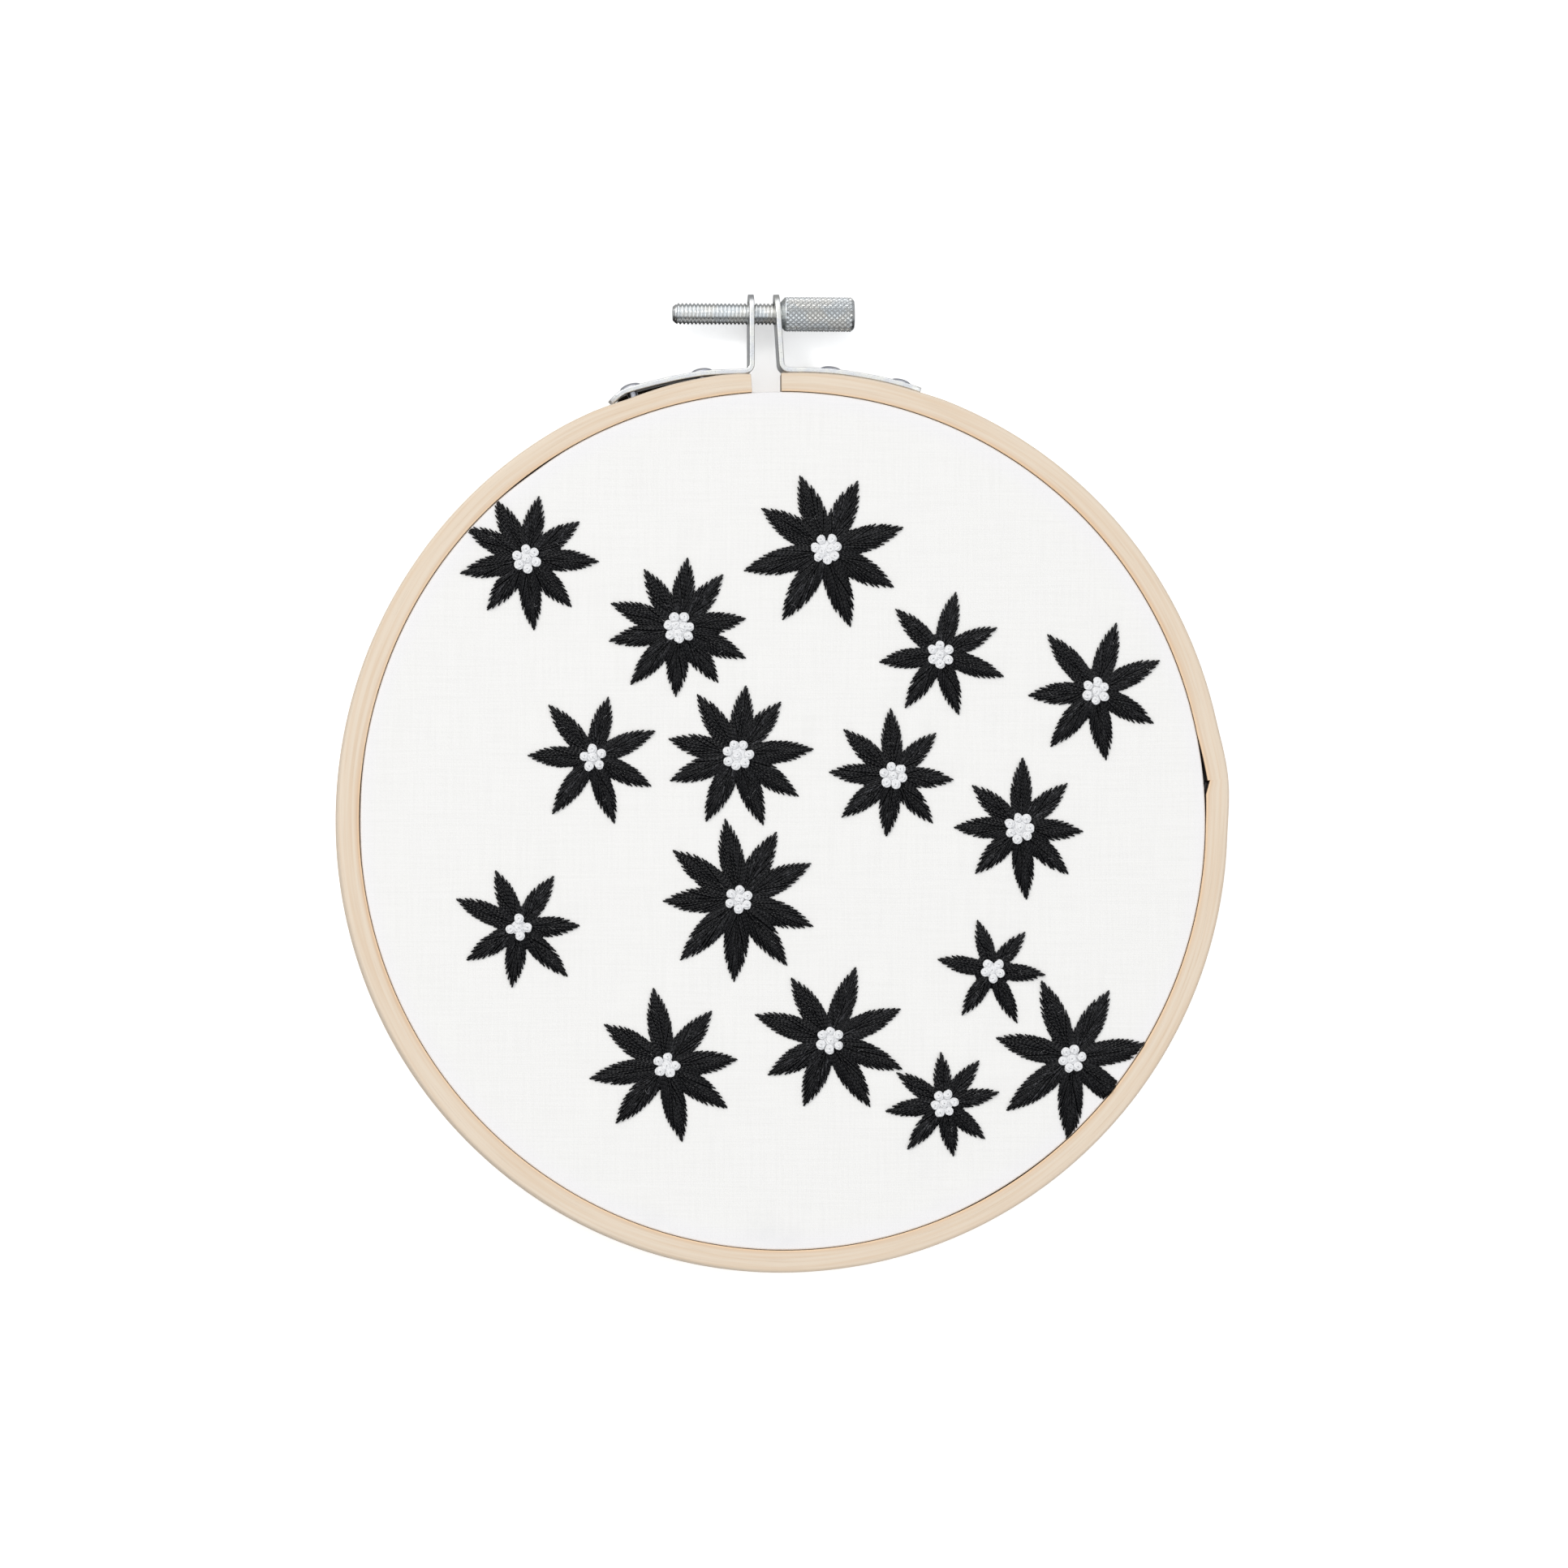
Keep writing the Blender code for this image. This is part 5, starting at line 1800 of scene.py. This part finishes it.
@dataclass
class Rivets:
    """Four domed rivets through the strips and the wood."""

    head_radius: float = 1.95 * MM
    head_height: float = 0.78 * MM
    shank_radius: float = 0.9 * MM
    shank_length: float = 4.6 * MM
    places: tuple = ((-27.0, Hand.LEFT), (-14.3, Hand.LEFT), (8.7, Hand.RIGHT), (21.3, Hand.RIGHT))
    nodes: tuple = ("rivet_left_far", "rivet_left_near", "rivet_right_near", "rivet_right_far")
    finish: ZincPlate = field(default_factory=lambda: ZincPlate(
        blue=(0.66, 0.68, 0.76), warm=(0.76, 0.76, 0.80), roughness=0.3, mark_share=0.3,
        groove=(0.03, 0.028, 0.025), recess_shade_share=0.95))

    def build(self) -> None:
        """Set the rivets on their strips and fit them."""
        paths = {hand: ClosingBracket(hand).path() for hand in Hand}
        spots, turns = [], []
        for x, hand in self.places:
            line = paths[hand]
            wanted = FORM.middle[0] + x * MM
            foot = [i for i in range(len(line) - 1)
                    if abs(line[i + 1][0] - line[i][0]) > abs(line[i + 1][1] - line[i][1])
                    and (line[i][0] - wanted) * (line[i + 1][0] - wanted) <= 0.0]
            near, far = line[foot[0]], line[foot[0] + 1]
            spot = near + (far - near) * (wanted - near[0]) / (far[0] - near[0])
            along = (far - near) / np.linalg.norm(far - near)
            out = np.array((-along[1], along[0]))
            out = out if out[1] > 0.0 else -out
            spot = spot + out * 0.4 * MM
            spots.append((*spot, FORM.depth / 2))
            turns.append(tuple(Vector((*out, 0.0)).to_track_quat("Z", "Y").to_euler()))
        mesh = bpy.data.meshes.new("bracket_rivets")
        mesh.from_pydata(spots, [], [])
        Workshop.note(mesh, turn=np.array(turns))
        piece = Workshop.hang("bracket_rivets", mesh)
        values = {
            "Head Radius": self.head_radius, "Head Height": self.head_height,
            "Shank Radius": self.shank_radius, "Shank Length": self.shank_length,
            "Material": self.finish.material("zinc_rivet"),
        }
        Workshop.grow(piece, TreeShop.rivets(), values)
        piece.data.set_sharp_from_angle(angle=radians(40.0))
        Workshop.fit(piece, "zinc", self.nodes)


@dataclass
class ThumbScrew:
    """The closing screw: a threaded rod, a coned shoulder and a diamond-knurled grip."""

    middle_y: float = 90.9 * MM
    pitch: float = 0.7 * MM
    crest: float = 1.92 * MM
    root: float = 1.62 * MM
    tip_x: float = -19.6 * MM
    grip_start: float = -0.38 * MM
    grip_end: float = 12.95 * MM
    grip_radius: float = 3.1 * MM
    shoulder_radius: float = 2.1 * MM
    shoulder_length: float = 1.0 * MM
    chamfer: float = 0.5 * MM
    knurl_depth: float = 0.32 * MM
    diamonds: int = 20
    diamond_length: float = 1.0 * MM
    finish: ZincPlate = field(default_factory=lambda: ZincPlate(
        blue=(0.75, 0.78, 0.80), warm=(0.79, 0.79, 0.77), roughness=0.26, mark_share=0.2, depth=0.015 * MM,
        cloud_size=3.0 * MM))

    def rod(self) -> Array:
        """The threaded rod as rows round its axis.

        Returns:
            Rows and columns of points about the screw's own middle.
        """
        columns = 48
        rows = round((self.grip_start - self.tip_x) / (self.pitch / 10))
        along = np.linspace(self.tip_x, self.grip_start + 0.2 * MM, rows)[:, None]
        turn = np.linspace(0.0, tau, columns, endpoint=False)[None, :]
        phase = (along / self.pitch + turn / tau) % 1.0
        ridge = np.clip(1.35 * (1.0 - np.abs(2.0 * phase - 1.0)) - 0.12, 0.0, 1.0)
        ridge = ridge * ridge * (3.0 - 2.0 * ridge)
        radius = self.root + (self.crest - self.root) * ridge
        taper = np.clip((along - self.tip_x) / (0.8 * MM), 0.0, 1.0)
        radius = np.minimum(radius, 1.25 * MM + (self.crest - 1.25 * MM) * taper)
        flat = np.broadcast_to(along, radius.shape)
        return np.stack((flat, radius * np.cos(turn), radius * np.sin(turn)), -1)

    def grip(self) -> Array:
        """The grip's smooth body as rows round its axis.

        Returns:
            Rows and columns of points about the screw's own middle.
        """
        base = self.grip_radius - self.knurl_depth
        knurl_start = self.grip_start + self.shoulder_length
        profile = [
            (self.grip_start, 0.0),
            (self.grip_start, self.shoulder_radius - 0.1 * MM),
            (self.grip_start + 0.1 * MM, self.shoulder_radius),
            (knurl_start - 0.1 * MM, self.grip_radius - 0.08 * MM),
            (knurl_start + 0.02 * MM, self.grip_radius - 0.06 * MM),
            (knurl_start + 0.22 * MM, base),
            (self.grip_end - self.chamfer - 0.1 * MM, base),
            (self.grip_end - self.chamfer, self.grip_radius - 0.1 * MM),
            (self.grip_end - 0.06 * MM, self.grip_radius - self.chamfer),
            (self.grip_end, self.grip_radius - self.chamfer - 0.1 * MM),
            (self.grip_end, 0.0),
        ]
        turn = np.linspace(0.0, tau, 60, endpoint=False)
        rows = [np.stack((np.full_like(turn, x), r * np.cos(turn), r * np.sin(turn)), -1) for x, r in profile]
        return np.array(rows)

    def build(self) -> None:
        """Turn the screw, knurl its grip, and fit it on its own body."""
        centre = np.array((FORM.middle[0], FORM.middle[1] + self.middle_y, FORM.depth / 2))
        shape = bmesh.new()
        for name, grid in (("rod", self.rod()), ("grip", self.grip())):
            part = Workshop.grid_mesh(name, grid + centre, wrap=True)
            shape.from_mesh(part)
            bpy.data.meshes.remove(part)
        bmesh.ops.remove_doubles(shape, verts=shape.verts, dist=0.001 * MM)
        bmesh.ops.holes_fill(shape, edges=shape.edges, sides=0)
        bmesh.ops.recalc_face_normals(shape, faces=shape.faces)
        mesh = bpy.data.meshes.new("thumb_screw")
        shape.to_mesh(mesh)
        shape.free()
        mesh.shade_smooth()
        mesh.set_sharp_from_angle(angle=radians(38.0))
        place = np.array([tuple(vertex.co) for vertex in mesh.vertices]) - centre
        gap = np.hypot(place[:, 1], place[:, 2])
        # Painted shade in the thread's roots and between the diamonds.
        threaded = 0.55 * np.clip((self.crest - gap) / (self.crest - self.root), 0.0, 1.0)
        threaded[place[:, 0] < self.tip_x + 0.9 * MM] = 0.0
        between_diamonds = 0.8 * (np.abs(gap - self.grip_radius + self.knurl_depth) < 0.01 * MM)
        on_grip = place[:, 0] > self.grip_start + self.shoulder_length
        deep = np.where(on_grip, between_diamonds, threaded)
        spots, turns = self.knurl_points(centre)
        body = len(mesh.vertices)
        mesh.vertices.add(len(spots))
        for i, spot in enumerate(spots):
            mesh.vertices[body + i].co = spot
        marked = np.zeros(len(mesh.vertices), bool)
        marked[body:] = True
        groove = np.concatenate((deep, np.zeros(len(spots))))
        turns = np.vstack((np.zeros((body, 3)), turns))
        Workshop.note(mesh, stitch=marked, groove=groove, turn=turns, size=np.ones_like(turns))
        piece = Workshop.hang("thumb_screw", mesh)
        width = tau * self.grip_radius / self.diamonds
        values = {
            "Half Length": self.diamond_length / 2, "Half Width": width / 2, "Height": self.knurl_depth,
            "Blunt Share": 0.16, "Material": self.finish.material("zinc_screw"),
        }
        Workshop.grow(piece, TreeShop.knurl(), values)
        Workshop.fit(piece, "zinc", ["screw"], body="screw")

    def knurl_points(self, centre: Array) -> tuple[Array, Array]:
        """Where the grip's diamonds stand, in staggered rows.

        Args:
            centre: The screw's middle.

        Returns:
            Their places and turns.
        """
        start = self.grip_start + self.shoulder_length + 0.35 * MM
        end = self.grip_end - self.chamfer - 0.2 * MM
        rows = round((end - start) / (self.diamond_length / 2))
        base = self.grip_radius - self.knurl_depth
        spots, turns = [], []
        for row in range(rows + 1):
            x = start + (end - start) * row / rows
            for i in range(self.diamonds):
                turn = tau * (i + 0.5 * (row % 2)) / self.diamonds
                spots.append(centre + np.array((x, -base * sin(turn), base * cos(turn))))
                turns.append((turn, 0.0, 0.0))
        return np.array(spots), np.array(turns)


# Studio


@dataclass
class Studio:
    """A pale floor, soft light from the upper left, and a camera over the hoop."""

    aim: Place = (0.3 * MM, -0.18 * MM, 4.0 * MM)
    frame_width: float = 280.6 * MM
    distance: float = 2.3
    tilt_left: float = 4.0
    tilt_down: float = 2.5
    floor_size: float = 12.0
    zenith: float = 1.03
    horizon: float = 0.36
    key: float = 6.0
    glint: float = 6.5
    fill: float = 5.0

    def build(self) -> None:
        """Lay the floor, hang the lights and set the camera."""
        self.floor()
        self.sky_light()
        self.lamp("key_light", (-0.95, 1.05, 1.35), 1.2, self.key, (1.0, 0.985, 0.96))
        self.lamp("glint_light", (-1.1, 0.85, 1.4), 0.3, self.glint, (1.0, 0.985, 0.96))
        self.lamp("fill_light", (1.3, -0.6, 1.5), 1.2, self.fill, (0.93, 0.96, 1.0))
        self.card("dark_card", (-0.06, -0.8), (-0.42, 0.62), PlainCard(0.02, 0.0))
        self.card("pale_card", (0.5, 0.0), (0.9, 0.9), PlainCard(0.8, 0.8))
        self.camera()

    def floor(self) -> None:
        """A large plane just under the hoop."""
        half, low = self.floor_size / 2, -0.02 * MM
        corners = [(-half, -half, low), (half, -half, low), (half, half, low), (-half, half, low)]
        self.plane("studio_floor", corners, PaleFloor(), ("glossy",))

    @staticmethod
    def plane(name: str, corners: Sequence[tuple], finish: Finish, unseen: Sequence[str]) -> None:
        """Put a flat thing in the studio.

        Args:
            name: Its name.
            corners: Its four corners.
            finish: Its finish.
            unseen: The kinds of rays that miss it.
        """
        mesh = bpy.data.meshes.new(name)
        mesh.from_pydata(corners, [], [(0, 1, 2, 3)])
        mesh.materials.append(finish.material(name))
        made = Workshop.hang(name, mesh)
        for kind in unseen:
            setattr(made, f"visible_{kind}", False)

    def sky_light(self) -> None:
        """A pale surround, brightest overhead."""
        world = bpy.data.worlds.new("pale_surround")
        world.use_nodes = True
        bench = NodeBench(world.node_tree)
        heading = bench.add("ShaderNodeTexCoord").outputs["Generated"]
        height = bench.parts(heading)[2]
        glow = bench.span(height, 0.1, 0.9, (self.horizon, self.zenith))
        shade = world.node_tree.nodes["Background"]
        shade.inputs["Color"].default_value = (0.97, 0.985, 1.0, 1.0)
        bench.tree.links.new(glow, shade.inputs["Strength"])
        bpy.context.scene.world = world
        bpy.context.scene.view_settings.view_transform = "Standard"

    def lamp(self, name: str, place: tuple, size: float, power: float, colour: Colour) -> None:
        """Hang a soft square light that faces the hoop.

        Args:
            name: Its name.
            place: Where it hangs.
            size: Its side.
            power: Its power in watts.
            colour: Its colour.
        """
        data = bpy.data.lights.new(name, "AREA")
        data.size, data.energy, data.color = size, power, colour
        made = bpy.data.objects.new(name, data)
        made.location = place
        made.rotation_euler = (Vector(self.aim) - Vector(place)).to_track_quat("-Z", "Y").to_euler()
        bpy.context.scene.collection.objects.link(made)

    def card(self, name: str, foot: tuple, top: tuple, finish: Finish) -> None:
        """Stand a card beside the hoop, seen only in the metal's reflections.

        Args:
            name: Its name.
            foot: Its foot's y and z.
            top: Its top's y and z.
            finish: Its finish.
        """
        corners = [(-1.0, *foot), (1.0, *foot), (1.0, *top), (-1.0, *top)]
        self.plane(name, corners, finish, ("camera", "diffuse", "shadow"))

    def camera(self) -> None:
        """Set the camera over the hoop, a little to its left and below."""
        data = bpy.data.cameras.new("camera")
        data.sensor_width = 36.0
        data.lens = 36.0 * self.distance / self.frame_width
        data.clip_end = 50.0
        left, down = tan(radians(self.tilt_left)), tan(radians(self.tilt_down))
        away = Vector((-left, -down, 1.0)).normalized() * self.distance
        made = bpy.data.objects.new("camera", data)
        made.location = Vector(self.aim) + away
        back = away.normalized()
        right = Vector((0.0, 1.0, 0.0)).cross(back).normalized()
        up = back.cross(right)
        facing = Matrix((right, up, back)).transposed().to_4x4()
        made.matrix_world = Matrix.Translation(made.location) @ facing
        bpy.context.scene.collection.objects.link(made)
        bpy.context.scene.camera = made


def main() -> None:
    """Build every piece of the hoop and its studio."""
    logging.basicConfig(level=logging.INFO, format="%(name)s: %(message)s")
    InnerRing().build()
    OuterRing().build()
    GroundCloth().build()
    StitchedFlowers().build()
    ReverseStitches().build()
    FrenchKnots().build()
    LooseFibres().build()
    for hand in Hand:
        ClosingBracket(hand).build()
    Rivets().build()
    ThumbScrew().build()
    Studio().build()
    log.info("%d triangles in all", Workshop.count)


if __name__ == "__main__":
    main()
